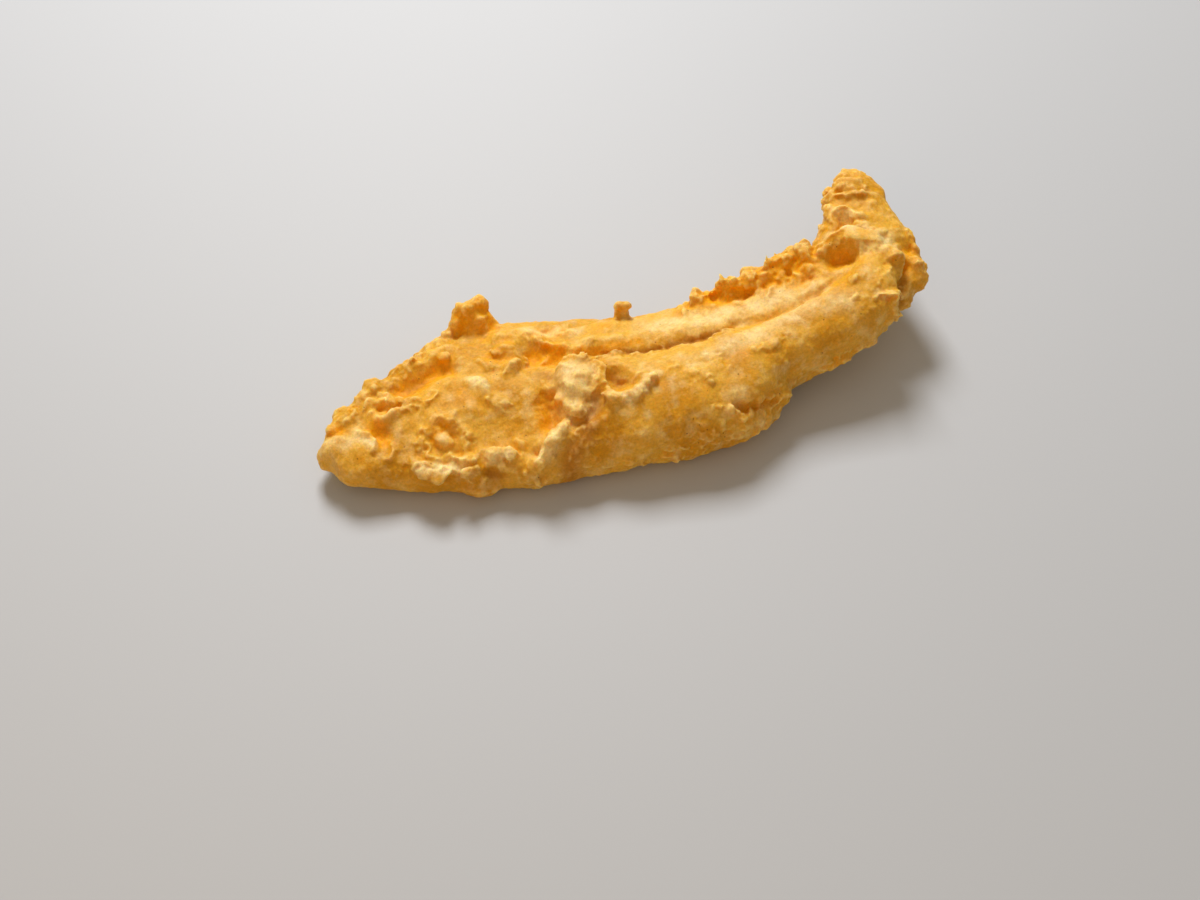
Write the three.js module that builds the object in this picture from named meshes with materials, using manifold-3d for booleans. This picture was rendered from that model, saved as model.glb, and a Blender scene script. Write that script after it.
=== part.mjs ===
// A battered and deep-fried fish fillet. The long body tapers from a blunt head end to a turned-up tail.
// Along its near side the fillet is folded over itself, which leaves a deep seam on top, and the batter
// has set in crags, ridges and hollows. All of it is one crust, so it is one solid.
//
// Millimetres, +Z up. X runs from the head end (-) to the tail (+) and the folded side faces -Y.
// The origin is at the middle of the bounding box, on the surface that the fillet lies on.
import * as THREE from "three";
import { mergeVertices } from "three/addons/utils/BufferGeometryUtils.js";
import Module from "manifold-3d";

const wasm = await Module();
wasm.setup();

// ---- driving dimensions ----

const CRUST_COLOUR = 0xd99a3a;
const CENTRE = { x: 9.9, y: 5 }; // middle of the bounding box in the coordinates used below
const RESTING_PLANE = 0; // the underside is pressed flat here
const RIM_SHARE = 0.42; // height of the widest line, as a share of the thickness
const DOME_POWER = 0.78; // roundness of the section above the rim: 1 is an ellipse, 0 a box
const KEEL_POWER = 0.5; // the same below the rim, where the crust is flatter
const SECTION_SAMPLES = 48; // points that trace half a section before it is spaced out evenly

// A rib is one cross section: its near and far edges in plan, its underside and its crown.
const rib = (near, far, base, crown) => ({ near, far, base, crown });

// The whole fillet, head to tail.
const BODY = {
  ribs: [
    rib([-104, 11], [-103, 20], 6, 13),
    rib([-101, 3], [-97, 27], 4, 15.5),
    rib([-90, -3], [-87, 32], 2, 17),
    rib([-75, -11], [-70, 38], 0, 18.5),
    rib([-56, -19], [-50, 46], -1.4, 19.5),
    rib([-38, -25], [-28, 43], -1.4, 20.5),
    rib([-18, -30], [-9, 37], -1.4, 21),
    rib([2, -33], [6, 30], -1.4, 21.5),
    rib([22, -36], [25, 23], -1, 22),
    rib([40, -34], [44, 20], -0.3, 22.5),
    rib([58, -27.5], [62, 18], 2, 24),
    rib([76, -23], [79, 18], 6, 28),
    rib([96, -21], [92, 19], 11, 32),
    rib([113, -17], [100, 26], 17, 34.5),
    rib([122, -3], [106, 35], 20, 35.5),
    rib([125, 15], [113, 44], 21, 34.5),
    rib([126, 32], [120, 49.5], 22, 31),
  ],
  along: 84,
  above: 28,
  below: 12,
  lean: 0,
  endRounding: 0.05,
};

// The side that is folded over the body, from the seam to the near edge.
const FOLD = {
  ribs: [
    rib([-24, -20], [-14, 8], 4, 20),
    rib([-12, -30], [-5, 9], 0, 25),
    rib([6, -35], [12, 1], -0.5, 26.5),
    rib([26, -39], [30, -1.5], -0.5, 27.5),
    rib([42, -37], [46, -4.5], 0.5, 28),
    rib([58, -28.5], [62, -6], 3, 29),
    rib([75, -26.5], [77, -6], 8, 32),
    rib([92, -25], [92, -4], 13, 35),
    rib([104, -20.5], [102, 1], 18, 36.5),
    rib([111, -10], [106, 2], 22, 35),
  ],
  along: 44,
  above: 18,
  below: 6,
  lean: 0.28,
  endRounding: 0.07,
};

// ---- relief that is drawn on the skin ----

// Long marks follow a line in plan. A negative height is a crease and a positive one a ridge.
const line = (points, width, height) => ({ points, width, height });
// Round marks have a centre, a radius and a height.
const spot = (x, y, radius, height) => ({ x, y, radius, height });

const BODY_LINES = [
  line([[-16, 14], [-7, 9], [1, 5], [10, 0.5], [18, -2], [30, -3], [42, -5]], 4, -6), // seam
  line([[42, -5], [50, -6.5], [65, -7], [78, -7]], 4.5, -6), // seam, towards the tail
  line([[-14, 20], [-4, 15], [8, 10]], 4, 1.5), // lip of the body over the seam
  line([[50, 10], [60, 8.5], [70, 7.5], [77, 7]], 4, -4.5), // trough behind the far fringe
  line([[-70, 4], [-66, 7], [-60, 6], [-56, 0], [-57, -6]], 3, 2.5), // swirl
  line([[-82, 15], [-75, 18], [-70, 21]], 3, 2), // ridge behind the snout
  line([[-66, 23], [-60, 26.5], [-52, 28.5]], 5, -4.5), // long hollow at the head
  line([[-68, 35], [-58, 31.5], [-48, 28]], 4, 2), // crest above that hollow
  line([[-80, -4], [-71, -10], [-62, -15]], 3.4, 2.5), // flakes along the near edge of the head
  line([[-54, -14], [-48, -18], [-42, -20]], 3.4, 2.5), // the same, towards the fold
  line([[-45, 18], [-38, 21], [-30, 16]], 3.4, 2), // ridge across the middle
  line([[107, 31], [114, 28.5], [121, 26]], 3.4, 1.8), // upper crease of the tail
  line([[105, 25], [112, 22.5], [119, 20]], 3.4, 1.5), // lower crease of the tail
  line([[92, 12], [98, 11.5], [103, 10], [110, 6]], 3.4, 3), // brow over the tail's hollow
];

const BODY_SPOTS = [
  spot(-84, 11, 4, -4.5), // pit behind the snout
  spot(-77, 23, 4, -2.5),
  spot(-64, 0, 5.5, -4.5), // middle of the swirl
  spot(-64, -1.5, 2.6, 3),
  spot(-56, -14.5, 4, -3),
  spot(-24, 22, 4.5, -3.5),
  spot(-18, 14, 6, -6), // pocket at the end of the seam
  spot(-27, -7, 7, -5), // hollow beside the knob
  spot(-42, -4, 12, -1.5),
  spot(-28, 29, 7, 2),
  spot(-52, 34, 4, 2.5),
  spot(-90, 24, 5, 2),
  spot(97, 5, 5.5, -6), // hollow of the tail
  spot(105, 19, 5, 2.5),
];

const FOLD_LINES = [
  line([[-7, -9], [-13, -15], [-20, -19], [-28, -24]], 4, -5), // valley at the end of the fold
  line([[34, -26], [42, -31], [51, -30]], 3.6, -3), // crease over the near crags
];

const FOLD_SPOTS = [
  spot(-1, -8.5, 4.6, -5), // crater by the seam
  spot(22, -20, 9, 1.2), // fullest part of the bulge
  spot(4, -15, 4, 1.5),
];

// ---- crags of batter that stand off the skin ----

// Centre, half sizes and turn about Z in degrees.
const crag = (x, y, z, length, width, height, turn = 0) => ({ x, y, z, length, width, height, turn });

const CRAGS = [
  // head end
  crag(-97, 12, 10.5, 9, 7, 7, -20),
  crag(-79, 31.5, 13, 4.6, 4.4, 4.8),
  crag(-58, -17, 5.6, 7, 4.4, 5, -25),
  // peak on the far edge
  crag(-35, 43, 15, 8, 6, 7, -20),
  crag(-37.5, 46, 20.5, 4.4, 3.6, 4.8, -25),
  crag(-31, 46.5, 21, 3.6, 3.2, 4.2, 10),
  // knob and ridge at the end of the fold
  crag(-13, -1, 20, 8.5, 10.5, 7.5, -25),
  crag(-22, 0, 18.5, 4.2, 4, 3.8),
  crag(-17.5, -11, 19, 4.5, 4.6, 5, -20),
  crag(-25, -15, 17, 5.8, 3.4, 4.6, 35),
  crag(-32.5, -19.5, 14, 6, 3.4, 4.6, 28),
  // far edge, beside the seam
  crag(16, 23, 17, 2.6, 3.2, 3.6),
  crag(44.5, 17, 17.5, 4.4, 2.8, 4),
  crag(56, 16, 18.5, 5, 3.8, 4.8),
  crag(67, 14.5, 21.5, 8, 3.8, 5.4, -8),
  crag(76, 14, 24, 7, 4.4, 6.2, 10),
  crag(84, 13.5, 27, 5, 4.6, 5),
  // near edge, under the fold
  crag(34, -36, 9, 7, 4, 5, 5),
  crag(44, -35, 10, 6.6, 4, 5, 25),
  crag(51.5, -31.5, 12, 5.4, 3.6, 4.4, 35),
  // tail
  crag(107, 1, 33.5, 5.5, 4.4, 3.8, -50),
  crag(109, -6, 32.5, 5, 4, 3.6, -60),
  crag(117, -9, 25, 8.5, 6.4, 7, 60),
  crag(111, -15, 22, 6, 4.6, 5.6, 35),
  crag(120.5, 4, 27, 4.4, 7.4, 6.6, 0),
];
const LARGE_CRAG = 5; // half size in millimetres from which a crag gets a finer mesh
const CRAG_ROUGHNESS = 0.09;

// ---- shaping functions ----

const signedPower = (value, power) => Math.sign(value) * Math.abs(value) ** power;

// A bell that is 1 at the middle and 0 from the radius outwards.
const bell = (distance, radius) => {
  const share = Math.min(1, distance / radius);
  return (1 - share * share) ** 2;
};

// How lumpy the batter is at a place, in millimetres along the normal: long swells under shorter ones.
function unevenness({ x, y, z }) {
  const swell = Math.sin(x * 0.19 + 1.1) * Math.cos(y * 0.23 - 0.4 + z * 0.11);
  const lump = Math.sin(x * 0.47 - y * 0.31 + 0.6) * Math.cos(y * 0.52 + x * 0.13 + z * 0.35);
  return 0.6 * swell + 0.55 * lump;
}

// Distance in plan from a place to a line of points.
function distanceToLine(place, points) {
  const here = new THREE.Vector2(place.x, place.y);
  let nearest = Infinity;
  for (let i = 1; i < points.length; i++) {
    const start = new THREE.Vector2(...points[i - 1]);
    const reach = new THREE.Vector2(...points[i]).sub(start);
    const share = THREE.MathUtils.clamp(here.clone().sub(start).dot(reach) / reach.lengthSq(), 0, 1);
    nearest = Math.min(nearest, here.distanceTo(start.addScaledVector(reach, share)));
  }
  return nearest;
}

// Lines and spots act on the upper side alone.
function relief(place, normal, lines, spots) {
  const upper = THREE.MathUtils.smoothstep(normal.z, -0.1, 0.35);
  let height = unevenness(place);
  for (const mark of lines) height += upper * mark.height * bell(distanceToLine(place, mark.points), mark.width);
  for (const mark of spots) {
    height += upper * mark.height * bell(Math.hypot(place.x - mark.x, place.y - mark.y), mark.radius * 1.4);
  }
  return height;
}

// One point of a section. The near point holds the height of the underside and the far one that of the crown.
function sectionPoint(near, far, fullness, lean, angle) {
  const rise = Math.sin(angle);
  const power = rise > 0 ? DOME_POWER : KEEL_POWER;
  let across = -signedPower(Math.cos(angle), power);
  if (rise > 0) across += lean * (1 - across * across);
  const rim = THREE.MathUtils.lerp(near.z, far.z, RIM_SHARE);
  const reach = rise > 0 ? far.z - rim : rim - near.z;
  return new THREE.Vector3(
    THREE.MathUtils.lerp(near.x, far.x, 0.5 + 0.5 * across * fullness),
    THREE.MathUtils.lerp(near.y, far.y, 0.5 + 0.5 * across * fullness),
    rim + reach * signedPower(rise, power) * fullness,
  );
}

// Half a section as evenly spaced points, without its last one.
function halfSection(near, far, fullness, lean, firstAngle, steps) {
  const traced = [];
  for (let i = 0; i <= SECTION_SAMPLES; i++) {
    traced.push(sectionPoint(near, far, fullness, lean, firstAngle + (Math.PI * i) / SECTION_SAMPLES));
  }
  return new THREE.CatmullRomCurve3(traced).getSpacedPoints(steps).slice(0, steps);
}

// A closed skin over ribs, drawn in to a point at both ends.
function skin({ ribs, along, above, below, lean, endRounding }, lines, spots) {
  const nearEdge = new THREE.CatmullRomCurve3(ribs.map((r) => new THREE.Vector3(...r.near, r.base)));
  const farEdge = new THREE.CatmullRomCurve3(ribs.map((r) => new THREE.Vector3(...r.far, r.crown)));
  const around = above + below;
  const vertices = [];
  for (let i = 0; i <= along; i++) {
    const eased = (1 - Math.cos((Math.PI * i) / along)) / 2;
    const station = THREE.MathUtils.lerp(i / along, eased, 0.35);
    const inset = Math.max(0, 1 - Math.min(station, 1 - station) / endRounding);
    const fullness = Math.sqrt(1 - inset * inset);
    const near = nearEdge.getPoint(station);
    const far = farEdge.getPoint(station);
    if (fullness < 1e-6) {
      vertices.push(sectionPoint(near, far, 0, lean, 0));
      continue;
    }
    vertices.push(...halfSection(near, far, fullness, lean, 0, above));
    vertices.push(...halfSection(near, far, fullness, lean, Math.PI, below));
  }
  const ring = (row, j) => 1 + row * around + (j % around);
  const last = vertices.length - 1;
  const faces = [];
  for (let j = 0; j < around; j++) {
    faces.push(0, ring(0, j), ring(0, j + 1));
    for (let row = 0; row < along - 2; row++) {
      faces.push(ring(row, j), ring(row + 1, j), ring(row + 1, j + 1));
      faces.push(ring(row, j), ring(row + 1, j + 1), ring(row, j + 1));
    }
    faces.push(last, ring(along - 2, j + 1), ring(along - 2, j));
  }
  const geometry = new THREE.BufferGeometry().setFromPoints(vertices).setIndex(faces);
  geometry.computeVertexNormals();
  const position = geometry.getAttribute("position");
  const normals = geometry.getAttribute("normal");
  const place = new THREE.Vector3();
  const normal = new THREE.Vector3();
  for (let i = 0; i < position.count; i++) {
    place.fromBufferAttribute(position, i);
    normal.fromBufferAttribute(normals, i);
    place.addScaledVector(normal, relief(place, normal, lines, spots));
    position.setXYZ(i, place.x, place.y, Math.max(place.z, RESTING_PLANE));
  }
  return geometry;
}

// A crag is a rounded lump whose surface is broken up in proportion to its size.
function cragGeometry({ x, y, z, length, width, height, turn }) {
  const geometry = new THREE.IcosahedronGeometry(1, Math.max(length, width, height) < LARGE_CRAG ? 1 : 2);
  const position = geometry.getAttribute("position");
  const point = new THREE.Vector3();
  for (let i = 0; i < position.count; i++) {
    point.fromBufferAttribute(position, i);
    const wave = Math.sin(point.x * 4.1 + x) * Math.cos(point.y * 4.7 + y) + Math.sin(point.z * 5.3 + x + y);
    point.multiplyScalar(1 + CRAG_ROUGHNESS * wave);
    position.setXYZ(i, point.x, point.y, point.z);
  }
  geometry.scale(length, width, height).rotateZ(THREE.MathUtils.degToRad(turn)).translate(x, y, z);
  for (let i = 0; i < position.count; i++) position.setZ(i, Math.max(position.getZ(i), RESTING_PLANE));
  return geometry;
}

// ---- joining ----

function toManifold(geometry) {
  const bare = geometry.clone();
  bare.deleteAttribute("normal");
  bare.deleteAttribute("uv");
  const merged = mergeVertices(bare, 1e-4);
  return new wasm.Manifold(
    new wasm.Mesh({
      numProp: 3,
      vertProperties: merged.getAttribute("position").array,
      triVerts: new Uint32Array(merged.index.array),
    }),
  );
}

function toGeometry(manifold) {
  const mesh = manifold.getMesh();
  const geometry = new THREE.BufferGeometry();
  geometry.setAttribute("position", new THREE.BufferAttribute(mesh.vertProperties, 3));
  geometry.setIndex(new THREE.BufferAttribute(mesh.triVerts, 1));
  geometry.computeVertexNormals();
  return geometry;
}

function filletGeometry() {
  let solid = toManifold(skin(BODY, BODY_LINES, BODY_SPOTS)).add(toManifold(skin(FOLD, FOLD_LINES, FOLD_SPOTS)));
  for (const lump of CRAGS) solid = solid.add(toManifold(cragGeometry(lump)));
  return toGeometry(solid).translate(-CENTRE.x, -CENTRE.y, 0);
}

const crust = new THREE.MeshStandardMaterial({ color: CRUST_COLOUR, roughness: 0.5, metalness: 0 });
const fillet = new THREE.Mesh(filletGeometry(), crust);
fillet.name = "fillet";

const part = new THREE.Group();
part.add(fillet);

export default part;
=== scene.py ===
# A long fish fillet in batter, deep-fried until the crust is crisp, on a pale table.
# The forms are drawn in millimetres as in the frame, and turned to metres when a mesh is made.

import math

import bmesh
import bpy
import numpy as np
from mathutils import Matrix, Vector
from mathutils.bvhtree import BVHTree


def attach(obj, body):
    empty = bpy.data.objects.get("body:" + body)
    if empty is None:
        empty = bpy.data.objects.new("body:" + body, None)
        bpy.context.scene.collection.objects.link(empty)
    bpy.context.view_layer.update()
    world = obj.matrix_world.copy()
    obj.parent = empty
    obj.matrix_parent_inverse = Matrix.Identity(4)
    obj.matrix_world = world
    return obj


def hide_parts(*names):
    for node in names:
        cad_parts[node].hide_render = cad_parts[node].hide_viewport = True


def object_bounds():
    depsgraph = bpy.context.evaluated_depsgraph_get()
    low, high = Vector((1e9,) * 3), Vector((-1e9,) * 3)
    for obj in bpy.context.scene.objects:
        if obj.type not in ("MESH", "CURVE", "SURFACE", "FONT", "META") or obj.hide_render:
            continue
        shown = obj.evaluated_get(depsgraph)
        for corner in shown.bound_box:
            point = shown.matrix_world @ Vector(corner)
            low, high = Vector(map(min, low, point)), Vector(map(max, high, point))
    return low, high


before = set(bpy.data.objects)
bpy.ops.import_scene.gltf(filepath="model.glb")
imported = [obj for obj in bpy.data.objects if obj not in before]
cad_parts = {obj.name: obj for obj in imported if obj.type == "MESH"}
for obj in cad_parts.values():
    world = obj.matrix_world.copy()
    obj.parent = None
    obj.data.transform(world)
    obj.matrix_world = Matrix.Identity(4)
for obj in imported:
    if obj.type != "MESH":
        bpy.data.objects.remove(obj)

mm = 0.001
drawingCentre = np.array([9.9, 5.0, 0.0])  # middle of the bounding box in the coordinates used below
cadLow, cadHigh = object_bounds()
print("frame loaded:", [round(1000 * v) for v in cadHigh - cadLow], "mm")


def curveThrough(points, shares):  # centripetal Catmull-Rom, as the frame's ribs are joined
    points = np.asarray(points, float)
    padded = np.vstack([2 * points[0] - points[1], points, 2 * points[-1] - points[-2]])
    place = np.asarray(shares, float) * (len(points) - 1)
    start = np.minimum(place.astype(int), len(points) - 2)
    t = (place - start)[:, None]
    p0, p1, p2, p3 = (padded[start + i] for i in range(4))
    spans = ((p0, p1), (p1, p2), (p2, p3))
    d0, d1, d2 = (np.linalg.norm(b - a, axis=1, keepdims=True) ** 0.5 for a, b in spans)
    leave = ((p1 - p0) / d0 - (p2 - p0) / (d0 + d1) + (p2 - p1) / d1) * d1
    arrive = ((p2 - p1) / d1 - (p3 - p1) / (d1 + d2) + (p3 - p2) / d2) * d1
    bend = 3 * (p2 - p1) - 2 * leave - arrive
    return p1 + t * (leave + t * (bend + t * (2 * (p1 - p2) + leave + arrive)))


def evenSteps(traced, count):  # the same line in equal steps, and its length
    walked = np.concatenate([[0], np.cumsum(np.linalg.norm(np.diff(traced, axis=0), axis=1))])
    stops = np.linspace(0, walked[-1], count)
    return np.stack([np.interp(stops, walked, traced[:, k]) for k in range(3)], axis=1), walked[-1]


def smoothStep(values, low, high):
    share = np.clip((values - low) / (high - low), 0, 1)
    return share * share * (3 - 2 * share)


def bell(distance, radius):  # 1 at the middle, 0 from the radius outwards
    return (1 - np.minimum(1, distance / radius) ** 2) ** 2


def distanceToPath(places, points):  # in plan where the points have two numbers
    places = places[:, :len(points[0])]
    nearest = np.linalg.norm(places - np.array(points[0], float), axis=1)
    for start, end in zip(points, points[1:]):
        start, reach = np.array(start, float), np.subtract(end, start).astype(float)
        share = np.clip((places - start) @ reach / (reach @ reach), 0, 1)
        nearest = np.minimum(nearest, np.linalg.norm(places - start - share[:, None] * reach, axis=1))
    return nearest


def makeMesh(name, points, faces):  # points in the drawing's millimetres
    mesh = bpy.data.meshes.new(name)
    mesh.from_pydata(((np.asarray(points) - drawingCentre) * mm).tolist(), [], [tuple(f) for f in faces])
    mesh.polygons.foreach_set("use_smooth", [True] * len(mesh.polygons))
    mesh.update()
    made = bpy.data.objects.new(name, mesh)
    bpy.context.scene.collection.objects.link(made)
    return made


def meshPoints(made):  # the mesh's points and normals, in the drawing's millimetres
    count = len(made.data.vertices)
    points, normals = np.empty(count * 3), np.empty(count * 3)
    made.data.vertices.foreach_get("co", points)
    made.data.vertices.foreach_get("normal", normals)
    return points.reshape(-1, 3) / mm + drawingCentre, normals.reshape(-1, 3)


def setPoints(made, points):
    made.data.vertices.foreach_set("co", ((points - drawingCentre) * mm).ravel())
    made.data.update()


def rib(near, far, base, crown):
    return (*near, base), (*far, crown)


body = {
    "ribs": [
        rib((-104, 11), (-103, 20), 6, 13),
        rib((-101, 3), (-97, 27), 4, 15.5),
        rib((-90, -3), (-87, 32), 2, 17),
        rib((-75, -11), (-70, 38), 0, 18.5),
        rib((-56, -19), (-50, 46), -1.4, 19.5),
        rib((-38, -25), (-28, 43), -1.4, 20.5),
        rib((-18, -30), (-9, 37), -1.4, 21),
        rib((2, -33), (6, 30), -1.4, 21.5),
        rib((22, -36), (25, 23), -1, 22),
        rib((40, -34), (44, 20), -0.3, 22.5),
        rib((58, -27.5), (62, 18), 2, 24),
        rib((76, -23), (79, 18), 6, 28),
        rib((96, -21), (92, 19), 11, 32),
        rib((113, -17), (100, 26), 17, 34.5),
        rib((122, -3), (106, 35), 20, 35.5),
        rib((125, 15), (114, 43), 21, 34.5),
        rib((126, 32), (121.5, 48.5), 22, 31),
    ],
    "along": 400,
    "above": 130,
    "below": 60,
    "lean": 0,
    "endRounding": 0.05,
}

fold = {
    "ribs": [
        rib((-24, -20), (-14, 8), 4, 20),
        rib((-12, -30), (-5, 9), 0, 25),
        rib((6, -35), (12, 1), -0.5, 26.5),
        rib((26, -39), (30, -1.5), -0.5, 27.5),
        rib((42, -37), (46, -4.5), 0.5, 28),
        rib((58, -28.5), (62, -6), 3, 29),
        rib((76, -28), (77, -6), 8, 32),
        rib((93, -27), (92, -4), 13, 35),
        rib((104.6, -21.5), (102, 1), 18, 36.5),
        rib((111, -10), (106, 2), 22, 35),
    ],
    "along": 240,
    "above": 110,
    "below": 40,
    "lean": 0.28,
    "endRounding": 0.07,
}

section = {
    "rimShare": 0.42,  # height of the widest line, as a share of the thickness
    "domePower": 0.78,
    "keelPower": 0.5,
    "samples": 200,
    "endCrowding": 0.35,  # share of the rings that crowd towards the ends
}


def halfSection(near, far, fullness, lean, firstAngle, steps):  # the upper half from 0, the lower from pi
    angles = firstAngle + np.linspace(0, math.pi, section["samples"] + 1)
    upper = firstAngle == 0
    power = section["domePower"] if upper else section["keelPower"]
    across = -np.sign(np.cos(angles)) * np.abs(np.cos(angles)) ** power
    if upper:
        across += lean * (1 - across**2)
    rise = np.sign(np.sin(angles)) * np.abs(np.sin(angles)) ** power
    rim = near[2] + (far[2] - near[2]) * section["rimShare"]
    reach = far[2] - rim if upper else rim - near[2]
    share = (0.5 + 0.5 * across * fullness)[:, None]
    level = (rim + reach * rise * fullness)[:, None]
    traced = np.hstack([near[:2] + (far[:2] - near[:2]) * share, level])
    return evenSteps(traced, steps + 1)[0][:-1]


def closedRings(name, rings, startTip, endTip):  # a tube of rings with a point at each end
    around = len(rings[0])
    points = np.vstack([[startTip], *rings, [endTip]])
    last = len(points) - 1
    steps = [(j, (j + 1) % around) for j in range(around)]
    faces = [(r + j, r + around + j, r + around + k, r + k)
             for r in range(1, last - around, around) for j, k in steps]
    for j, k in steps:
        faces += [(0, 1 + j, 1 + k), (last, last - around + k, last - around + j)]
    return makeMesh(name, points, faces)


def makeLoft(name, form):
    nearEnds, farEnds = zip(*form["ribs"])
    even = np.arange(form["along"] + 1) / form["along"]
    crowding = section["endCrowding"]
    stations = (1 - crowding) * even + crowding * (1 - np.cos(np.pi * even)) / 2
    nears, fars = curveThrough(nearEnds, stations), curveThrough(farEnds, stations)
    inset = np.maximum(0, 1 - np.minimum(stations, 1 - stations) / form["endRounding"])
    fullness = np.sqrt(np.maximum(0, 1 - inset**2))
    rings = [np.vstack([halfSection(near, far, full, form["lean"], 0, form["above"]),
                        halfSection(near, far, full, form["lean"], math.pi, form["below"])])
             for near, far, full in list(zip(nears, fars, fullness))[1:-1]]
    tips = [[*((near + far) / 2)[:2], near[2] + (far[2] - near[2]) * section["rimShare"]]
            for near, far in ((nears[0], fars[0]), (nears[-1], fars[-1]))]
    return closedRings(name, rings, *tips)


lumps = {
    "places": {  # centre, half sizes, turn about Z in degrees
        "snout pillow": (-98, 13.2, 9.6, 8.8, 6.6, 6.2, -20),
        "yellow lump": (-79, 31.5, 13, 4.6, 4.4, 4.8, 0),
        "drip": (-58, -17, 5.6, 7, 4.4, 5, -25),
        "peak": (-35, 43, 15, 8, 6, 7, -20),
        "peak left lobe": (-37.5, 46, 20.5, 4.4, 3.6, 4.8, -25),
        "peak right lobe": (-31, 46.5, 21, 3.6, 3.2, 4.2, 10),
        "knob": (-13, -1, 20, 8.5, 10.5, 7.5, -25),
        "knob left lobe": (-22, 0, 18.5, 4.2, 4, 3.8, 0),
        "knob foot": (-17.5, -11, 19, 4.5, 4.6, 5, -20),
        "ridge head": (-28, -17.5, 17.2, 5.6, 4.4, 3.8, 35),
        "ridge tail": (-34.5, -21, 13, 5.5, 3, 4, 28),
        "crumb on the far rim": (16, 24, 18.2, 2.6, 3.2, 4.2, 0),
        "fringe A": (44.5, 17, 17.5, 4.4, 2.8, 4, 0),
        "fringe B": (56, 16, 18.5, 5, 3.8, 4.8, 0),
        "fringe C": (67, 14, 21.5, 8, 4.8, 5.4, -8),
        "fringe D": (76, 13, 24, 7.4, 5.2, 6.2, 10),
        "fringe E": (84, 13.5, 27, 5, 4.6, 5, 0),
        "near crag A": (34, -36, 9, 7, 4, 5, 5),
        "near crag B": (44, -35, 10, 6.6, 4, 5, 25),
        "near crag C": (51.5, -31.5, 12, 5.4, 3.6, 4.4, 35),
        "brow end": (107, 1, 33.5, 5.5, 4.4, 3.8, -50),
        "brow foot": (109, -6, 32.5, 5, 4, 3.6, -60),
        "flap": (117, -9, 25, 8.5, 6.4, 7, 60),
        "flap lobe": (111, -15, 22, 6, 4.6, 5.6, 35),
        "tail side": (120.5, 4, 27, 4.4, 7.4, 6.6, 0),
        "tail edge": (122.6, 31, 29.5, 3.6, 9, 4.4, 12),
    },
    "subdivisions": 4,
    "roughness": 0.09,
}

# Smaller lumps that stand on the joined forms.
smallLumps = {
    "grain 1": (-98, 21, 14.5, 2.6, 2.2, 2.2, 10),
    "grain 2": (-94.5, 24, 14.5, 2.8, 2.2, 2.4, 40),
    "grain 3": (-92, 20.5, 16.5, 2.2, 1.8, 1.8, 0),
    "grain 4": (-89.5, 25, 15.5, 2.4, 2, 2.2, 70),
    "edge bump": (-85, 27, 14.5, 3.2, 2.6, 3, 20),
    "swirl blob": (-64.6, -0.8, 15.8, 4.4, 2.6, 2.2, -52),
    "orange lump 1": (-82.5, 29, 13.8, 4.4, 3.6, 3.8, 30),
    "orange lump 2": (-76, 30.5, 14.6, 3.6, 2.8, 3, 10),
    "clump 1": (-62, -15.5, 13.5, 2.6, 2, 2.2, -20),
    "clump 2": (-58.5, -15.5, 12.5, 2.4, 2.2, 2.4, 10),
    "clump 3": (-57, -18, 9.5, 2.2, 1.8, 2, 0),
    "clump 4": (-50, -13, 16, 3.2, 2.2, 2.4, -20),
    "clump 5": (-46, -15.5, 16.5, 2.4, 2.6, 2.2, 10),
    "pale lump": (-51.5, 31, 18.8, 2.4, 1.8, 2, 0),
    "rim lump 1": (-50, 40.5, 15, 2.4, 2, 2.2, 0),
    "rim lump 2": (-45.5, 43, 15, 2.6, 2, 2.4, 20),
    "rim lump 3": (-66, 37, 14, 2.4, 1.8, 2, 10),
    "rim lump 4": (-73, 32.5, 14, 2.2, 1.8, 2, 40),
    "peak shoulder left": (-40.5, 44, 18, 3.4, 2.8, 3.2, 0),
    "peak shoulder right": (-31, 42.5, 17.5, 3.4, 2.6, 3, 0),
    "leaf lump 1": (-46.5, 14.5, 19.6, 3.2, 2.4, 2.2, -40),
    "leaf lump 2": (-43.5, 9.5, 19.4, 2.8, 2, 1.6, -50),
    "far mound 1": (-33, 24.5, 19.6, 4, 2.8, 2.2, -30),
    "far mound 2": (-37.5, 19.5, 19.6, 3.2, 2.2, 2, -60),
    "far mound 3": (-28.5, 30, 20.4, 4.4, 2.6, 1.8, 0),
    "knob pearl 1": (-23.5, 3.5, 20, 2.4, 2, 2, 0),
    "knob pearl 2": (-21.5, -4.5, 21, 2.6, 2.2, 2.2, 0),
    "knob pearl 3": (-9, 5, 24.5, 3, 2.2, 2.4, -40),
    "nubbin": (84, -3.5, 29.4, 2.8, 1.8, 1.8, 20),
    "rim crumb left": (14.8, 24.2, 22, 2.2, 1.8, 1.8, 0),
    "rim crumb right": (17.4, 23.2, 21.8, 2.4, 2, 2, 0),
    "tail rim 2": (102, 25, 32, 2.6, 2, 2.2, 60),
    "tail rim 3": (107, 32, 32.5, 2.4, 2, 2, 60),
    "tail rim 4": (109.4, 37.4, 26.6, 2.8, 2.6, 2.6, 40),
    "tail end": (121.5, 39, 28.5, 3, 3.4, 3, 0),
    "tail end right": (123.4, 37.6, 29.4, 2.4, 2.4, 2.2, 0),
    "flap edge 1": (121.5, -8, 26, 3, 3.4, 3.6, 0),
    "flap edge 2": (119, -14.5, 24.5, 3.4, 2.6, 3.4, 40),
    "flap edge 3": (122.5, -1.5, 28, 2.6, 3, 3, 0),
}


def unitBall(subdivisions):
    bpy.ops.mesh.primitive_ico_sphere_add(subdivisions=subdivisions, radius=1)
    ball = bpy.context.object
    points = np.array([v.co for v in ball.data.vertices])
    faces = [tuple(p.vertices) for p in ball.data.polygons]
    bpy.data.objects.remove(ball)
    return points, faces


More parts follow.
